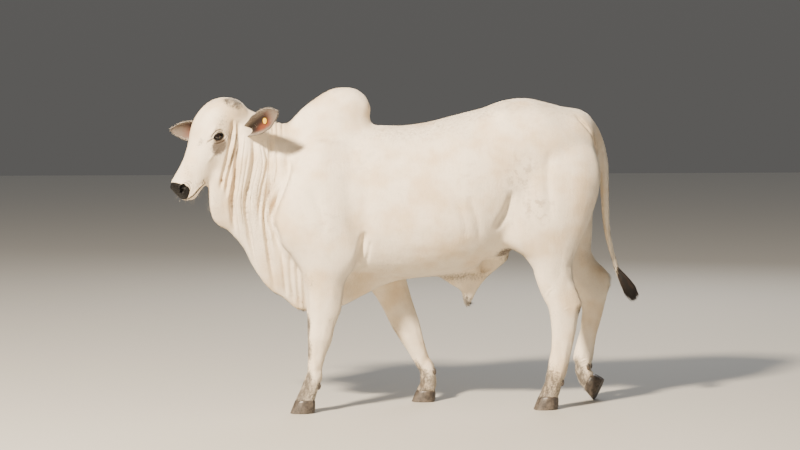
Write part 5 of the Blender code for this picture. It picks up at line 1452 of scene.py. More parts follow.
def coat_zones(points, normals, bend):
    """How dense the tufts are at each vertex, and their length, width and lift."""
    head = to_head(points)
    x, _, z = points.T
    s, _, out = head.T
    on_head = (s > -0.10) & (s < HEAD_SPAN[1]) & (np.abs(head[:, 1]) < 0.15) & (out > HEAD_UNDER)
    density = np.ones(len(points))
    length, width, lift = (np.full(len(points), size) for size in TUFT_SIZE_MM)
    low_leg = soft_step(-z, -0.45, -0.15)
    length -= 4.5 * low_leg
    width -= 0.6 * low_leg
    face = on_head * soft_step(s, -0.05, 0.10)
    length -= 6.5 * face
    width -= 1.0 * face
    lift -= 0.25 * face
    density += 0.8 * face + 0.8 * low_leg
    dewlap = (x < -0.45) & (z > 0.42) & (z < 1.25) & ~on_head
    zones = [
        # where, denser by, longer, wider and lifted by millimetres
        (dewlap & (np.abs(normals[:, 1]) < 0.5) & (normals[:, 0] < 0.2), 2.5, 6, 0.2, 1.6),
        ((normals[:, 2] < -0.75) & (z < 0.85) & (z > 0.45) & (x < 0.75), 1.5, 7, 0.2, 1.6),
        ((normals[:, 2] > 0.72) & (z > 1.28) & ~on_head, 1.6, 3, 0.0, 1.1),
        ((normals[:, 0] > 0.55) & (z < 0.80) & (z > 0.24), 1.5, 5, 0.2, 1.2),
        ((normals[:, 0] > 0.55) & (x > 0.70) & (z > 0.55) & (z < 1.35), 1.0, 5, 0.2, 1.2),
        ((normals[:, 0] > 0.30) & (z < 0.25) & (z > 0.08), 8.0, 17, 0.0, 3.4),
        (near_tail(points), 3.5, 5, -0.4, 1.2),
        (near_tail(points) & (z < 0.78), 3.0, 12, -0.4, 1.5),
        (on_head & (s < 0.03), 2.2, 3, 0.2, 1.6),
        (on_head & (out < -0.10) & (normals @ np.array(out_of_brow) < -0.4), 1.2, 5, 0.0, 1.2),
        (bend < -26, 0.8, 1, 0.0, 0.1),
    ]
    for where, denser, longer, wider, lifted in zones:
        share = spread(skin, where.astype(float), ZONE_BLUR)
        density += denser * share
        length += longer * share
        width += wider * share
        lift += lifted * share
    sheath = falloff(np.linalg.norm((points - SHEATH_TIP) / SHEATH_REACH, axis=1))
    density += 14 * sheath
    length += 26 * sheath
    lift += 3 * sheath
    over_claws = coronet_share(points)
    density += 16 * over_claws
    length += 7 * over_claws
    lift += 0.9 * over_claws
    return density, length * MM, width * MM, lift * MM


CORONET_HAIR = (0.022, 0.008)
LOWEST_LEGS = 0.20


def coronet_share(points):
    """One close to the claws, and zero where they are CORONET_HAIR[0] away."""
    share = np.zeros(len(points))
    low = np.flatnonzero(points[:, 2] < LOWEST_LEGS)
    corners = np.concatenate([vertex_arrays(piece)[0][::3] for piece in horn_pieces[::2]])
    near_claw = KDTree(len(corners))
    for i, corner in enumerate(corners):
        near_claw.insert(corner, i)
    near_claw.balance()
    for i in low:
        away = near_claw.find(Vector(points[i]))[2]
        share[i] = soft_step(-away, -CORONET_HAIR[0], -CORONET_HAIR[1])
    return share

# %% [markdown]
# The lie of the coat follows how hair grows. From the whorl on the forehead it fans out and runs down the
# face. On the trunk it runs to the rear and a little down, and on neck, legs and rump it runs down.

# %% The lie of the coat
def way_of_hair(points):
    """The lie of the coat: to the rear on the trunk, down the legs and the neck, and down the face."""
    head = to_head(points)
    x, _, z = points.T
    way = np.tile((1.0, 0.0, -0.28), (len(points), 1))
    down = soft_step(-z, -0.98, -0.66)[:, None]
    way = way * (1 - down) + np.array((0.12, 0.0, -1.0)) * down
    neck = (soft_step(-x, 0.52, 0.66) * (z > 0.45))[:, None]
    way = way * (1 - neck) + np.array((0.30, 0.0, -1.0)) * neck
    rear = (soft_step(x, 0.72, 0.95) * (z > 0.45))[:, None]
    way = way * (1 - rear) + np.array((0.25, 0.0, -1.0)) * rear
    s, sideways, out = head.T
    on_head = soft_step(s, -0.16, -0.06) * (np.abs(sideways) < HEAD_HALF_WIDTH) * (out > HEAD_UNDER)
    on_head = on_head[:, None]
    cheek = soft_step(-out, -0.03, 0.06)
    along = np.tanh((s - 0.12) / 0.035) * (1 - cheek) + 0.45 * cheek
    fan = sideways * 9 * np.exp(-(((s - 0.12) / 0.05) ** 2)) * (1 - cheek)
    face = np.column_stack([along, fan, -0.9 * cheek]) @ head_turn
    way = way * (1 - on_head) + face * on_head
    return way


def flat_ways(points, normals, ways, spread_degrees):
    """Ways laid flat on the surface and turned a little, each tuft by chance and all by a slow wave."""
    flat = unit(ways - normals * np.einsum("ij,ij->i", ways, normals)[:, None])
    across = np.cross(normals, flat)
    slow = np.sin(points @ (23, 31, 17)) + np.sin(points @ (-41, 13, 29) + 2)
    turns = np.radians(spread_degrees) * (chance.standard_normal(len(points)) + 0.5 * slow)
    return unit(flat * np.cos(turns)[:, None] + across * np.sin(turns)[:, None])

# %% [markdown]
# Now the roots are thrown on the skin. Nose, lids and lips stay bare.

# %% Roots of the tufts
TUFTS_ON_SKIN = 92_000
TUFT_SPREAD_DEGREES = 9
BARE_ROUND_EYES = 0.028
BARE_ROUND_LIPS = 6 * MM

points, normals = vertex_arrays(skin)
density, *measures = coat_zones(points, normals, skin_bend)
bare = (skin_marks["leather"] > 0.15) | near_rims(points) | ((skin_marks["dark"] > 0.55) & near_head(points))
for side in (-1, 1):
    eye_place = from_head(np.array((EYE_FROM_POLL, side * eye_sideways, 0)))
    bare |= np.linalg.norm(points - eye_place, axis=1) < BARE_ROUND_EYES
bare |= line_distance(points, lip_line)[0] < BARE_ROUND_LIPS
density[spread(skin, bare.astype(float), 1) > 0.02] = 0
chosen, shares = scattered(skin, density, TUFTS_ON_SKIN)
roots = at_roots(points, chosen, shares)
root_normals = unit(at_roots(normals, chosen, shares))
ways = flat_ways(roots, root_normals, way_of_hair(roots), TUFT_SPREAD_DEGREES)
sizes = [at_roots(values, chosen, shares) * chance.uniform(0.75, 1.25, len(roots)) for values in measures]
root_marks = {name: at_roots(values, chosen, shares) for name, values in skin_marks.items()}
print("roots:", len(roots), "tufts of", round(sizes[0].mean() / MM, 1), "mm")

# %% [markdown]
# Each tuft gets a place of its own on a map. The map is an unwrap of a
# coarse copy of the skin, and a tuft takes a patch of it, three thousandths wide, where its root stands.

# %% A map of the skin for the tufts
MAP_TRIANGLES = 7000
PATCH = 0.003

only(skin)
bpy.ops.object.duplicate()
coarse = bpy.context.object
thin = coarse.modifiers.new("thin", "DECIMATE")
thin.ratio = MAP_TRIANGLES / triangles_of(coarse)
apply_modifiers(coarse)
in_edit_mode(coarse, bpy.ops.uv.smart_project, angle_limit=math.radians(66), island_margin=0.004)
map_corners = np.array([vertex.co for vertex in coarse.data.vertices])
map_faces = [tuple(face.vertices) for face in coarse.data.polygons]
map_tree = BVHTree.FromPolygons(map_corners.tolist(), map_faces)
map_places = [[coarse.data.uv_layers.active.data[i].uv.copy() for i in face.loop_indices]
              for face in coarse.data.polygons]


def place_on_map(points):
    """Where some points of the skin lie on its unwrap."""
    places = np.empty((len(points), 2))
    for i, point in enumerate(points):
        near, _, face, _ = map_tree.find_nearest(Vector(point))
        a, b, c = (Vector(map_corners[j]) for j in map_faces[face][:3])
        flat = [Vector((*uv, 0)) for uv in map_places[face][:3]]
        places[i] = barycentric_transform(near, a, b, c, *flat)[:2]
    return places


root_places = place_on_map(roots)
bpy.data.objects.remove(coarse)
print("the map spans", root_places.min(axis=0).round(3), "to", root_places.max(axis=0).round(3))

# %% [markdown]
# Now the blades. Each has three corners at its root, which is sunk into the skin, three where it is widest
# and one at its tip. Hair this short takes its shading from the body that it lies on, so each blade is given
# the normals of the skin below it, turned a little to its two sides.

# %% Blades of hair
BLADE_CORNERS = 7
BLADE_FACES = [(0, 2, 1), (0, 1, 4, 3), (0, 3, 5, 2), (1, 2, 5, 4), (3, 4, 6), (4, 5, 6), (5, 3, 6)]
BLADE_SHARES = (0.0, 0.0, 0.0, 0.45, 0.45, 0.45, 1.0)
BLADE_ACROSS = (-0.35, 0.35, 0.0, -0.5, 0.5, 0.0, 0.0)
BLADE_THICKNESS = 0.22
BLADE_ROUNDNESS = 0.28
BLADE_SINK = 0.6 * MM
FOLLOWS_WITHIN = 5 * MM
PIECE_TUFTS = 18_500


def laid_on(tree, points, normals):
    """The places of a surface next to some points, with its normals there."""
    places, outward = points.copy(), normals.copy()
    for i, point in enumerate(points):
        place, normal, _, distance = tree.find_nearest(Vector(point))
        if distance < FOLLOWS_WITHIN and normal.dot(Vector(normals[i])) > 0.2:
            places[i] = place
            outward[i] = normal
    return places, outward


def blades(tree, roots, normals, ways, sizes):
    """The corners of all blades, seven for each, and the normals that they are shaded with."""
    length, width, lift = (values[:, None] for values in sizes)
    middle, middle_normal = laid_on(tree, roots + ways * length * BLADE_SHARES[3], normals)
    tip, tip_normal = laid_on(tree, roots + ways * length, normals)
    across = np.cross(normals, ways)
    base = roots - normals * BLADE_SINK
    raised = middle + middle_normal * lift * 0.35
    corners = np.empty((len(roots), BLADE_CORNERS, 3))
    for k in range(BLADE_CORNERS):
        centre = base if k < 3 else raised
        corners[:, k] = centre + across * width * BLADE_ACROSS[k]
    corners[:, 2] += normals * width * BLADE_THICKNESS
    corners[:, 5] += middle_normal * width * BLADE_THICKNESS
    corners[:, 6] = tip + tip_normal * lift
    shading = np.empty_like(corners)
    for k in range(BLADE_CORNERS):
        under = normals if k < 3 else (middle_normal if k < 6 else tip_normal)
        shading[:, k] = unit(under + across * BLADE_ROUNDNESS * np.sign(BLADE_ACROSS[k]))
    return corners, shading

# %% [markdown]
# One mesh takes thousands of blades at once: arrays of corners, of the corners of each face and of the
# places on the map go straight into it. Several pieces share the coat, one behind the other.

# %% Meshes of blades
def blade_object(name, corners, shading, marks, places):
    """One mesh of many blades, with the strength of the markings and the map of their roots."""
    count = len(corners)
    starts = np.arange(count)[:, None] * BLADE_CORNERS
    loops = np.concatenate([starts + np.array(face) for face in BLADE_FACES], axis=1)
    mesh = bpy.data.meshes.new(name)
    mesh.vertices.add(count * BLADE_CORNERS)
    mesh.vertices.foreach_set("co", corners.ravel())
    mesh.loops.add(loops.size)
    mesh.loops.foreach_set("vertex_index", loops.ravel())
    sides = np.array([len(face) for face in BLADE_FACES])
    mesh.polygons.add(count * len(sides))
    offsets = np.concatenate([[0], np.cumsum(sides)[:-1]])
    firsts = np.arange(count)[:, None] * sides.sum() + offsets
    mesh.polygons.foreach_set("loop_start", firsts.ravel())
    mesh.update(calc_edges=True)
    mesh.validate()
    layer = mesh.uv_layers.new(name="OFBake")
    patch = np.column_stack([BLADE_ACROSS, np.array(BLADE_SHARES) - 0.5]) * PATCH
    corner_places = places[:, None, :] + patch
    layer.data.foreach_set("uv", corner_places.reshape(-1, 2)[loops.ravel()].ravel())
    made = mesh_object(name, mesh)
    spread_marks = {key: np.repeat(values, BLADE_CORNERS) for key, values in marks.items()}
    spread_marks["tip"] = np.tile(BLADE_SHARES, count)
    spread_marks["shade"] = np.repeat(chance.random(count), BLADE_CORNERS)
    paint(made, spread_marks)
    smooth_shading(made)
    mesh.normals_split_custom_set_from_vertices(shading.reshape(-1, 3))
    return made


skin_tree = BVHTree.FromPolygons(points.tolist(), triangle_corners(skin).tolist())
all_corners, all_shading = blades(skin_tree, roots, root_normals, ways, sizes)
order = np.argsort(roots[:, 0])
coats = []
for k, part in enumerate(np.array_split(order, math.ceil(len(order) / PIECE_TUFTS))):
    marks = {name: values[part] for name, values in root_marks.items()}
    coat = blade_object(f"coat_{k + 1}", all_corners[part], all_shading[part], marks, root_places[part])
    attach(coat, "root")
    coats.append(coat)
print("coat:", len(coats), "pieces,", [triangles_of(coat) for coat in coats], "triangles")

# %% [markdown]
# Hair of the ears. A soft fringe stands along the rim of each ear and short hair covers its back, while the
# inside is nearly bare. It is made of blades like the coat's, which spread outwards at the rim.

# %% Fringe of the ears
EAR_TUFTS = 4200
EAR_SPREAD_DEGREES = 16


def ear_fringe(side_name):
    """Blades along the rim and over the back of one ear, with a few inside."""
    leaf = ears[side_name]
    _, axis, across, _ = (np.array(part) for part in ear_axes(side_name))
    points, normals = vertex_arrays(leaf)
    place = np.empty(len(points) * 3)
    leaf.data.attributes["ear_place"].data.foreach_get("vector", place)
    share, along, _ = place.reshape(-1, 3).T
    inner = np.empty(len(points))
    leaf.data.attributes["inner"].data.foreach_get("value", inner)
    rim = soft_step(np.abs(share), 0.80, 0.97)
    chosen, shares = scattered(leaf, 0.6 + 5.0 * rim - 0.58 * inner * (1 - rim), EAR_TUFTS)
    roots = at_roots(points, chosen, shares)
    outward = unit(at_roots(normals, chosen, shares))
    rim, inner, share = (at_roots(values, chosen, shares) for values in (rim, inner, share))
    ways = axis + across * (np.sign(share) * rim * 0.9 - np.sign(share) * inner * (1 - rim) * 0.8)[:, None]
    ways = flat_ways(roots, outward, ways, EAR_SPREAD_DEGREES)
    length = (6 + 2 * rim + 4 * inner * (1 - rim)) * MM * chance.uniform(0.6, 1.2, len(roots))
    width = np.full(len(roots), 0.7 * MM)
    lift = (0.5 + 0.5 * rim + 1.4 * inner * (1 - rim)) * MM * chance.uniform(0.5, 1.3, len(roots))
    tree = BVHTree.FromPolygons(points.tolist(), triangle_corners(leaf).tolist())
    corners, shading = blades(tree, roots, outward, ways, (length, width, lift))
    corners[:, 6] += ways * (0.25 * length * rim)[:, None]
    marks = {"rim": rim, "inner": inner}
    made = blade_object(f"fringe_{side_name}", corners, shading, marks, place_on_ear(share, roots))
    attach(made, "root")
    return made


def place_on_ear(share, roots):
    """The leaf of an ear is nearly flat, so its map is its own length and breadth."""
    height = (roots[:, 2] - roots[:, 2].min()) / np.ptp(roots[:, 2])
    return np.column_stack([0.5 + 0.45 * share, 0.03 + 0.94 * height])

fringes = [ear_fringe("left"), ear_fringe("right")]
print("fringes:", [triangles_of(fringe) for fringe in fringes], "triangles")

# %% [markdown]
# Lashes shade the eye, and a few stiff whiskers feel for what the bull can't see under its muzzle. Each hair
# is a single spindle.

# %% Lashes and whiskers
LASHES = 44
LASH_LENGTH = 15 * MM
LASH_RADIUS = 0.35 * MM
WHISKERS = 90
WHISKER_RADIUS = 0.28 * MM
HAIR_RINGS = 5


def single_hairs(name, lines, radius):
    """Thin spindles along some lines of seven points each."""
    thickness = radius * np.array((0, 1, 0.95, 0.8, 0.6, 0.35, 0))
    corners = []
    for line in lines:
        corners += spindle(line, thickness, LOCK_SIDES)
    made = hair_object(name, corners, tube_faces(len(lines), HAIR_RINGS, LOCK_SIDES))
    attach(made, "root")
    return made


def lash_lines(side):
    """Lashes along the upper lid, bent downwards and out."""
    lines = []
    for turn in np.linspace(0.12, 0.88, LASHES) * math.pi + chance.uniform(-0.03, 0.03, LASHES):
        along, up = lid_edge(turn)
        out = math.sqrt(max(eye_radius**2 - along**2 - up**2, 0)) + 2.2 * MM
        long = LASH_LENGTH * chance.uniform(0.7, 1.1)
        fan = 0.35 * along + chance.uniform(-1, 1) * MM
        line = []
        for t in np.linspace(0, 1, HAIR_RINGS + 2):
            sag = MM * t * t
            line.append(eye_plane(along + fan * t, up + 2 * MM - 6 * sag, out + long * t - 3 * sag, side))
        lines.append(np.array(line))
    return lines


def whisker_lines():
    """Whiskers on the lips and the chin."""
    points, normals = vertex_arrays(skin)
    head = to_head(points)
    low = (head[:, 0] > 0.385) & (head[:, 2] < -0.02) & near_head(points) & ~near_rims(points)
    low = np.flatnonzero(low & (skin_marks["leather"] < 0.1))
    lines = []
    for i in chance.choice(low, WHISKERS, replace=False):
        way = normals[i] + 0.5 * np.array(down_face) - 0.35 * np.array(UP) + chance.uniform(-0.25, 0.25, 3)
        way = way / np.linalg.norm(way) * chance.uniform(16, 34) * MM
        t = np.linspace(0, 1, HAIR_RINGS + 2)[:, None]
        lines.append(points[i] - normals[i] * MM + way * t - np.array(UP) * 5 * MM * t * t)
    return lines


lashes = single_hairs("lashes", lash_lines(-1) + lash_lines(1), LASH_RADIUS)
whiskers = single_hairs("whiskers", whisker_lines(), WHISKER_RADIUS)
print("lashes:", triangles_of(lashes), "whiskers:", triangles_of(whiskers), "triangles")

# %% [markdown]
# Materials. All are built from Blender's shader nodes. One function adds a node with its settings and links,
# and one turns the sRGB hex values, in which colours are usually noted, to the linear ones that Blender
# works with. Hair, skin and horn get their colours in layers, so each colour is laid over the ones before it,
# as strongly as the markings and patterns say that it follows.

# %% Helpers for materials
def linear(hex_colour):
    """A colour written as #rrggbb, as linear red, green, blue and alpha."""
    parts = [int(hex_colour[i:i + 2], 16) / 255 for i in (1, 3, 5)]
    return (*(v / 12.92 if v <= 0.04045 else ((v + 0.055) / 1.055) ** 2.4 for v in parts), 1)


def add_node(tree, kind, inputs=None, out=0, **settings):
    """Adds a shader node and returns one of its outputs. Its inputs get plain values or other outputs."""
    made = tree.nodes.new("ShaderNode" + kind)
    for name, value in settings.items():
        setattr(made, name, value)
    for name, value in (inputs or {}).items():
        if isinstance(value, bpy.types.NodeSocket):
            tree.links.new(value, made.inputs[name])
        else:
            made.inputs[name].default_value = value
    return made.outputs[out]


def new_material(name, constants):
    """A material with its node tree and its Principled shader, some of whose sockets get constant values."""
    material = bpy.data.materials.new(name)
    material.use_nodes = True
    shader = material.node_tree.nodes["Principled BSDF"]
    for socket, value in constants.items():
        shader.inputs[socket].default_value = value
    return material, material.node_tree, shader


def blobs(tree, size, stretch=(1, 1, 1), turn=(0, 0, 0), detail=3, rough=0.5):
    """A pattern of soft blobs about size metres wide, stretched along the piece's own axes after a turn."""
    place = add_node(tree, "TexCoord", out="Object")
    inputs = {"Vector": place, "Rotation": turn, "Scale": [size * s for s in stretch]}
    turned = add_node(tree, "Mapping", inputs, vector_type="TEXTURE")
    inputs = {"Vector": turned, "Scale": 1.0, "Detail": detail, "Roughness": rough}
    return add_node(tree, "TexNoise", inputs)


def lay_over(tree, colour, layers):
    """Lays colours over a first one. Each has a share, and the values that the share is multiplied by.

    A value is the name of a marking or a node's output. Two limits after it say between which it rises.
    """
    for tint, share, follows in layers:
        for value, *limits in follows:
            if isinstance(value, str):
                value = add_node(tree, "Attribute", out="Fac", attribute_name=value)
            if limits:
                inputs = {"Value": value, "From Min": limits[0], "From Max": limits[1]}
                value = add_node(tree, "MapRange", inputs, interpolation_type="SMOOTHSTEP")
            share = add_node(tree, "Math", {0: share, 1: value}, operation="MULTIPLY", use_clamp=True)
        colour = add_node(tree, "Mix", {0: share, 6: colour, 7: linear(tint)}, 2, data_type="RGBA")
    return colour


def dress(pieces, material):
    """Gives some pieces one material in place of their own."""
    for piece in pieces:
        piece.data.materials.clear()
        piece.data.materials.append(material)
    print(material.name, "on", len(pieces), "pieces, with", len(material.node_tree.nodes), "nodes")


# %% [markdown]
# Short white hair over dark skin. Sleek hair 8 mm long, each hair 0.05 mm thick, lies flat in locks about
# 3 mm wide that run to the rear on the trunk and down on the legs. Single hairs are far too fine to
# show, so the bump draws the locks, a little coarser than they are. The eye sees a matt surface with a
# faint silky rim, cream where the sun bleached it, and warmer and darker in the hollows, where shade is
# painted.

# %% Colours of the coat
CREAM = "#eee0c8"
WARM_CREAM = "#dfc8a6"
MOTTLE_BROWN = "#a08c74"
CREASE_SHADE = "#735c47"
WORN_GREY = "#3c352f"
SKIN_BROWN_AND_SHADE = "#3a2a1f"
SKIN_BLACK = "#0e0c0b"
SPECKLE_GREY = "#8d857d"


def coat_colour(tree):
    """The coat's colour with all its markings, the same on the skin and on the tufts."""
    broad = blobs(tree, 160 * MM, detail=2)
    patches = blobs(tree, 34 * MM, detail=5, rough=0.62)
    worn = blobs(tree, 20 * MM, (1, 1, 1.8), detail=4)
    fine = blobs(tree, 9 * MM, detail=4, rough=0.6)
    specks = blobs(tree, 3.2 * MM, detail=2)
    ragged = {}
    for mark in ("grey", "brown"):
        strength = add_node(tree, "Attribute", out="Fac", attribute_name=mark)
        ragged[mark] = add_node(tree, "Math", {0: strength, 1: fine}, operation="ADD")
    return lay_over(tree, linear(CREAM), [
        # colour, its share, what it follows
        (WARM_CREAM, 1, [(broad, 0.40, 0.72)]),
        (MOTTLE_BROWN, 0.66, [("mottle",), (patches, 0.46, 0.66)]),
        # painted shade in the creases and hollows of the skin
        (CREASE_SHADE, 0.72, [("crease", 0.08, 0.90)]),
        (SPECKLE_GREY, 0.55, [("speckle",), (specks, 0.60, 0.70)]),
        (WORN_GREY, 0.92, [(ragged["grey"], 0.62, 1.38), (worn, 0.00, 0.58)]),
        # brown skin, with painted shade in the groin and under the belly
        (SKIN_BROWN_AND_SHADE, 0.88, [(ragged["brown"], 0.55, 1.35)]),
        (SKIN_BLACK, 1, [("dark", 0.15, 0.75)]),
    ])


# %% [markdown]
# The skin's own material adds what is not colour. Its bump has three layers: the locks, the slack skin's
# broad wrinkles, and on the nose the pebbles of bare leather, 3.4 mm wide, which is moist and so less matt.

# %% Coat material
LOCK_WIDTH = 3.2 * MM
LOCK_STRETCH = 7
FACE_LOCK_WIDTH = 0.6 * LOCK_WIDTH
LOCK_HEIGHT = 1.5 * MM
TRUNK_LIE = (0, math.radians(28), 0)
SLACK_WIDTH = 28 * MM
SLACK_HEIGHT = 1.3 * MM
PEBBLE_WIDTH = 3.4 * MM
PEBBLE_HEIGHT = 1.4 * MM
HAIR_ROUGHNESS = 0.80
LEATHER_ROUGHNESS = 0.52
HAIR_SHEEN = 0.18


def lie_of_hair(tree):
    """Height of the locks: to the rear on the trunk, down the legs and the neck, and down the face."""
    downwards, on_face = (add_node(tree, "Attribute", out="Fac", attribute_name=mark)
                          for mark in ("downwards", "face"))
    trunk = blobs(tree, LOCK_WIDTH, (LOCK_STRETCH, 1, 1), TRUNK_LIE, rough=0.55)
    legs = blobs(tree, LOCK_WIDTH, (1, 1, LOCK_STRETCH), rough=0.55)
    face = blobs(tree, FACE_LOCK_WIDTH, (LOCK_STRETCH, 1, 1), head_matrix.to_euler(), rough=0.55)
    body = add_node(tree, "Mix", {0: downwards, 2: trunk, 3: legs})
    return add_node(tree, "Mix", {0: on_face, 2: body, 3: face})


def coat_material():
    constants = {"Specular IOR Level": 0.25, "Sheen Roughness": 0.45}
    material, tree, shader = new_material("short_white_hair", constants)
    tree.links.new(coat_colour(tree), shader.inputs["Base Color"])
    leather = add_node(tree, "Attribute", out="Fac", attribute_name="leather")
    dull = add_node(tree, "Mix", {0: leather, 2: HAIR_ROUGHNESS, 3: LEATHER_ROUGHNESS})
    tree.links.new(dull, shader.inputs["Roughness"])
    silky = add_node(tree, "Mix", {0: leather, 2: HAIR_SHEEN, 3: 0.0})
    tree.links.new(silky, shader.inputs["Sheen Weight"])
    locks = add_node(tree, "Bump", {"Height": lie_of_hair(tree), "Distance": LOCK_HEIGHT, "Strength": 1.0})
    slack = blobs(tree, SLACK_WIDTH, (0.45, 1, 2.2))
    inputs = {"Height": slack, "Distance": SLACK_HEIGHT, "Strength": 1.0, "Normal": locks}
    wrinkled = add_node(tree, "Bump", inputs)
    inputs = {"Scale": 1 / PEBBLE_WIDTH, "Vector": add_node(tree, "TexCoord", out="Object")}
    pebbles = add_node(tree, "TexVoronoi", inputs, "Distance", feature="F1")
    sunk = add_node(tree, "Math", {0: pebbles, 1: leather}, operation="MULTIPLY", use_clamp=True)
    inputs = {"Height": sunk, "Distance": -PEBBLE_HEIGHT, "Strength": 1.0, "Normal": wrinkled}
    tree.links.new(add_node(tree, "Bump", inputs), shader.inputs["Normal"])
    return material


dress([skin], coat_material())

# %% [markdown]
# The tufts are the same hair, so they take the same colour from the markings at their roots. Their roots are
# a little darker with painted shade, as the sun reaches their tips more than their roots, and no two locks are
# bleached alike.

# %% Tuft material
BLEACHED = "#f6efe2"
TUFT_ROOT_SHADE = 0.06
TUFT_BLEACH = 0.22


def tuft_material():
    """The coat's colour, a little darker at the roots with painted shade and paler at the tips, and different
    by tuft.
    """
    constants = {"Roughness": 0.62, "Specular IOR Level": 0.35,
                 "Sheen Weight": HAIR_SHEEN, "Sheen Roughness": 0.45}
    material, tree, shader = new_material("tufts_of_white_hair", constants)
    colour = lay_over(tree, coat_colour(tree), [
        # painted shade at the roots of the tufts
        (CREASE_SHADE, TUFT_ROOT_SHADE, [("tip", 0.75, 0.0)]),
        (BLEACHED, TUFT_BLEACH, [("shade",)]),
    ])
    tree.links.new(colour, shader.inputs["Base Color"])
    return material


dress(coats, tuft_material())

# %% [markdown]
# A bull's eye. The ball is wet and clear in front, so it is nearly a mirror at its grazing edges and shows
# the studio light as one sharp spot. Behind the cornea the iris is dark umber with fine fibres that run out
# from a wide level pupil, and the white only shows as a brown rim.

# %% Eye material
IRIS_REACH = 0.78
IRIS_RIM = 0.05
IRIS_FIBRES = 16
PUPIL_WIDE = 0.42
PUPIL_HIGH = 0.20
IRIS_BROWN = "#26170c"
IRIS_DARK = "#0f0906"
WHITE_OF_EYE = "#30241c"
PUPIL_BLACK = "#050406"


def eye_material():
    constants = {"Roughness": 0.12, "IOR": 1.376, "Coat Weight": 1.0, "Coat Roughness": 0.02}
    material, tree, shader = new_material("wet_eye", constants)
    place = add_node(tree, "Attribute", out="Vector", attribute_name="eye_place")
    parts = add_node(tree, "SeparateXYZ", {0: place}).node.outputs
    flat = add_node(tree, "CombineXYZ", {"X": parts["X"], "Y": parts["Y"]})
    away = add_node(tree, "VectorMath", {0: flat}, "Value", operation="LENGTH")
    in_pupils = (1 / PUPIL_WIDE, 1 / PUPIL_HIGH, 1)
    squeezed = add_node(tree, "VectorMath", {0: flat, 1: in_pupils}, operation="MULTIPLY")
    from_pupil = add_node(tree, "VectorMath", {0: squeezed}, "Value", operation="LENGTH")
    fibres = add_node(tree, "TexNoise", {"Vector": place, "Scale": IRIS_FIBRES, "Detail": 4})
    colour = lay_over(tree, linear(IRIS_DARK), [
        (IRIS_BROWN, 1, [(fibres, 0.35, 0.70)]),
        (WHITE_OF_EYE, 1, [(away, IRIS_REACH - IRIS_RIM, IRIS_REACH)]),
        (PUPIL_BLACK, 1, [(from_pupil, 1.05, 0.9)]),
    ])
    tree.links.new(colour, shader.inputs["Base Color"])
    return material


dress(eyeballs, eye_material())

# %% [markdown]
# The ear is skin and gristle only a few millimetres thick. Its back has the body's white hair. Inside it is
# bare and maroon, with painted shade, nearly black, in the funnel and in its upper half, and grey again
# towards a rim that ends in a thin dark edge. The colours follow how far a place is along and across the ear.

# %% Ear material
EAR_PINK = "#66321f"
EAR_INNER_SHADE = "#170b09"
EAR_RIM = "#6c6258"
EAR_EDGE = "#3a322e"
# limits across the ear and along it, in shares and metres
GREY_FROM = ((0.45, 0.95), (0.15, 0.24))
EDGE_FROM = ((0.972, 0.995), (0.262, 0.276))


def ear_material():
    constants = {"Roughness": 0.62, "Specular IOR Level": 0.35,
                 "Sheen Weight": 0.05, "Sheen Roughness": 0.4}
    material, tree, shader = new_material("velvety_ear", constants)
    place = add_node(tree, "Attribute", out="Vector", attribute_name="ear_place")
    parts = add_node(tree, "SeparateXYZ", {0: place}).node.outputs
    share, along = parts["X"], parts["Y"]
    across = add_node(tree, "Math", {0: share}, operation="ABSOLUTE")
    outwards = []
    for limits in (GREY_FROM, EDGE_FROM):
        rises = {}
        for i, (value, (low, high)) in enumerate(zip((across, along), limits)):
            inputs = {"Value": value, "From Min": low, "From Max": high}
            rises[i] = add_node(tree, "MapRange", inputs, interpolation_type="SMOOTHSTEP")
        outwards.append(add_node(tree, "Math", rises, operation="MAXIMUM"))
    greyer, edge = outwards
    streaks = blobs(tree, 3 * MM, (5, 5, 1))
    inside = lay_over(tree, linear(EAR_PINK), [
        # painted shade deep in the funnel and in the upper half of the cup
        (EAR_INNER_SHADE, 1, [(along, 0.12, 0.03)]),
        (EAR_INNER_SHADE, 0.95, [(share, -0.30, 0.25), (along, 0.25, 0.14)]),
        (EAR_RIM, 1, [(greyer,), (streaks, 0.10, 0.50)]),
    ])
    outside = lay_over(tree, linear(CREAM), [(WARM_CREAM, 1, [(blobs(tree, 60 * MM), 0.4, 0.7)])])
    inner = add_node(tree, "Attribute", out="Fac", attribute_name="inner")
    colour = add_node(tree, "Mix", {0: inner, 6: outside, 7: inside}, 2, data_type="RGBA")
    colour = lay_over(tree, colour, [(EAR_EDGE, 0.9, [(edge,), (blobs(tree, 10 * MM), 0.30, 0.5)])])
    tree.links.new(colour, shader.inputs["Base Color"])
    ribbed = {"Height": blobs(tree, 2.6 * MM, (6, 6, 1)), "Distance": 0.4 * MM, "Strength": 1.0}
    tree.links.new(add_node(tree, "Bump", ribbed), shader.inputs["Normal"])
    return material


dress(list(ears.values()), ear_material())

# %% [markdown]
# The tag is moulded from flexible polyurethane. New ones are evenly matt; a few months outdoors leave it
# slightly chalky, with grime in patches.

# %% Tag material
TAG_YELLOW = "#e3b51c"
TAG_GRIME = "#9c7a22"


def tag_material():
    constants = {"Roughness": 0.42, "IOR": 1.5}
    material, tree, shader = new_material("moulded_polyurethane", constants)
    grime = blobs(tree, 6 * MM, detail=5)
    colour = lay_over(tree, linear(TAG_YELLOW), [(TAG_GRIME, 0.5, [(grime, 0.52, 0.75)])])
    tree.links.new(colour, shader.inputs["Base Color"])
    grain = {"Height": blobs(tree, 0.8 * MM), "Distance": 0.05 * MM, "Strength": 1.0}
    tree.links.new(add_node(tree, "Bump", grain), shader.inputs["Normal"])
    return material


dress([tag], tag_material())

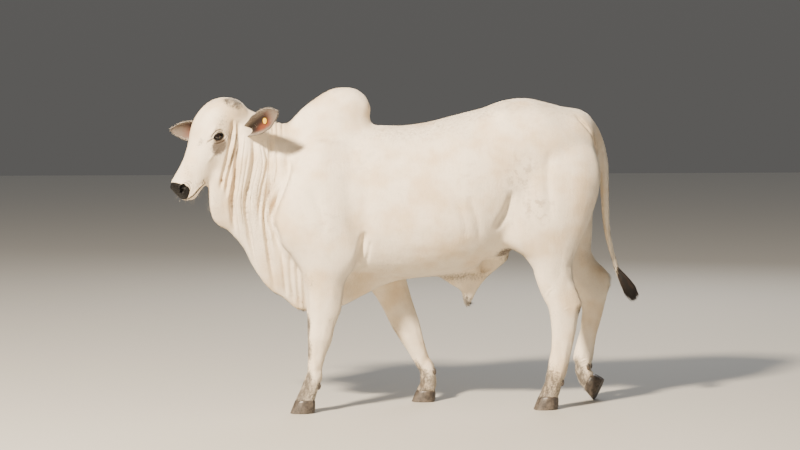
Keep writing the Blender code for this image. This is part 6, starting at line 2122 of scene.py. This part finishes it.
# %% [markdown]
# Hoof horn is slate brown, hard and dry. Tubules run down the wall as fine lines, the growth rings are a
# little paler, and towards the ground dust and scuffs turn it grey. It is dull, with a faint shine only
# near the coronet, where it is young.

# %% Horn material
HORN_DARK = "#352e28"
HORN_PALE = "#5f554b"
HORN_DUST = "#776c60"
YOUNG_HORN = 0.03
YOUNG_ROUGHNESS = 0.42
OLD_ROUGHNESS = 0.68


def horn_material():
    constants = {"IOR": 1.54}
    material, tree, shader = new_material("hoof_horn", constants)
    tubules = blobs(tree, 1.6 * MM, (1, 1, 14))
    blotches = blobs(tree, 24 * MM, detail=4)
    scuffs = blobs(tree, 7 * MM, detail=5)
    colour = lay_over(tree, linear(HORN_DARK), [
        (HORN_PALE, 1, [(blotches, 0.35, 0.70)]),
        (HORN_DARK, 0.45, [(tubules, 0.45, 0.70)]),
        (HORN_DUST, 0.45, [("below_coronet", 0.015, 0.060), (scuffs, 0.38, 0.66)]),
    ])
    tree.links.new(colour, shader.inputs["Base Color"])
    below = add_node(tree, "Attribute", out="Fac", attribute_name="below_coronet")
    inputs = {0: below, 1: 0.0, 2: YOUNG_HORN, 3: YOUNG_ROUGHNESS, 4: OLD_ROUGHNESS}
    tree.links.new(add_node(tree, "MapRange", inputs), shader.inputs["Roughness"])
    lined = {"Height": tubules, "Distance": 0.25 * MM, "Strength": 1.0}
    tree.links.new(add_node(tree, "Bump", lined), shader.inputs["Normal"])
    return material


dress(horn_pieces, horn_material())

# %% [markdown]
# Long coarse hair. It is nearly black, with a brown tint in some locks that the sun has bleached, and it
# has the soft shine of hair because its shells reflect along the lock.

# %% Dark hair material
HAIR_BLACK = "#14110f"
HAIR_BROWN = "#3a2a1f"


def dark_hair_material():
    constants = {"Roughness": 0.46, "IOR": 1.55}
    material, tree, shader = new_material("coarse_black_hair", constants)
    colour = lay_over(tree, linear(HAIR_BLACK), [(HAIR_BROWN, 1, [("shade", 0.55, 1.0)])])
    tree.links.new(colour, shader.inputs["Base Color"])
    fine_hairs = {"Height": blobs(tree, 0.7 * MM, (1, 1, 12)), "Distance": 0.12 * MM, "Strength": 1.0}
    tree.links.new(add_node(tree, "Bump", fine_hairs), shader.inputs["Normal"])
    return material


dress([switch, lashes], dark_hair_material())

# %% [markdown]
# The fringe of the ear is pale grey hair, a little darker at the rim, and whiskers are of the same kind.

# %% Fringe material
FRINGE_PALE = "#b9ae9f"
FRINGE_GREY = "#4a423c"


def fringe_material():
    constants = {"Roughness": 0.6, "Specular IOR Level": 0.35}
    material, tree, shader = new_material("pale_fringe_hair", constants)
    darker = [("shade", 0.45, 0.9), ("rim", 0.3, 0.9)]
    colour = lay_over(tree, linear(FRINGE_PALE), [(FRINGE_GREY, 0.8, darker)])
    tree.links.new(colour, shader.inputs["Base Color"])
    return material


dress(fringes + [whiskers], fringe_material())

# %% [markdown]
# The studio has a plain pale floor and a pale surround. Its key light stands to the front left and above, as
# the photo's sun does. It is small for a studio lamp, 1 m wide, so that the folds throw short shadows. A wide
# weak one fills them, and one behind parts the back from the surround. The camera stands where the
# photographer stood, so that the bull fills the frame as it does in the photo.

# %% Floor, lights and camera
FLOOR_SIZE = 60.0
CAMERA_PLACE = Vector((-1.2003, -11.0411, 1.60))
CAMERA_WAY = Vector((0.1043, 0.9926, -0.0616))
CAMERA_LENS = 100
AREA_LIGHTS = [
    # name, place, what it faces, size in metres, watts, colour
    ("key", (-5.2, -6.5, 7.0), (0.0, 0.0, 0.8), 1.0, 4600, "#ffedd4"),
    ("fill", (6.5, -5.0, 2.5), (0.2, 0.0, 0.8), 5.0, 50, "#e9efff"),
    ("back", (2.5, 6.5, 5.0), (0.0, 0.0, 1.0), 4.0, 260, "#ffffff"),
]
SURROUND = 0.30
HORIZON_GREY = "#a3a19e"
ZENITH_GREY = "#f2f4f7"
FLOOR_GREY = "#b4b1aa"

bpy.ops.mesh.primitive_plane_add(size=FLOOR_SIZE, location=(0, 0, -0.5 * MM))
floor = bpy.context.object
floor.name = "studio_floor"
floor_constants = {"Base Color": linear(FLOOR_GREY), "Roughness": 0.8}
floor.data.materials.append(new_material("pale_floor", floor_constants)[0])

world = bpy.data.worlds.new("surround")
world.use_nodes = True
around = add_node(world.node_tree, "TexCoord", out="Generated")
height = add_node(world.node_tree, "SeparateXYZ", {0: around}, "Z")
sky = lay_over(world.node_tree, linear(HORIZON_GREY), [(ZENITH_GREY, 1, [(height, 0.0, 0.7)])])
backdrop = world.node_tree.nodes["Background"]
world.node_tree.links.new(sky, backdrop.inputs["Color"])
backdrop.inputs["Strength"].default_value = SURROUND
bpy.context.scene.world = world

for name, place, target, size, watts, colour in AREA_LIGHTS:
    light = bpy.data.lights.new(name, "AREA")
    light.size = size
    light.energy = watts
    light.color = linear(colour)[:3]
    holder = bpy.data.objects.new(name, light)
    holder.location = place
    holder.rotation_euler = (Vector(target) - Vector(place)).to_track_quat("-Z", "Y").to_euler()
    bpy.context.scene.collection.objects.link(holder)

camera = bpy.data.objects.new("camera", bpy.data.cameras.new("camera"))
camera.data.lens = CAMERA_LENS
camera.location = CAMERA_PLACE
camera.rotation_euler = CAMERA_WAY.to_track_quat("-Z", "Y").to_euler()
bpy.context.scene.collection.objects.link(camera)
bpy.context.scene.camera = camera
print("camera", round((CAMERA_PLACE - node_centre("barrel")).length, 2), "m from the middle of the barrel")
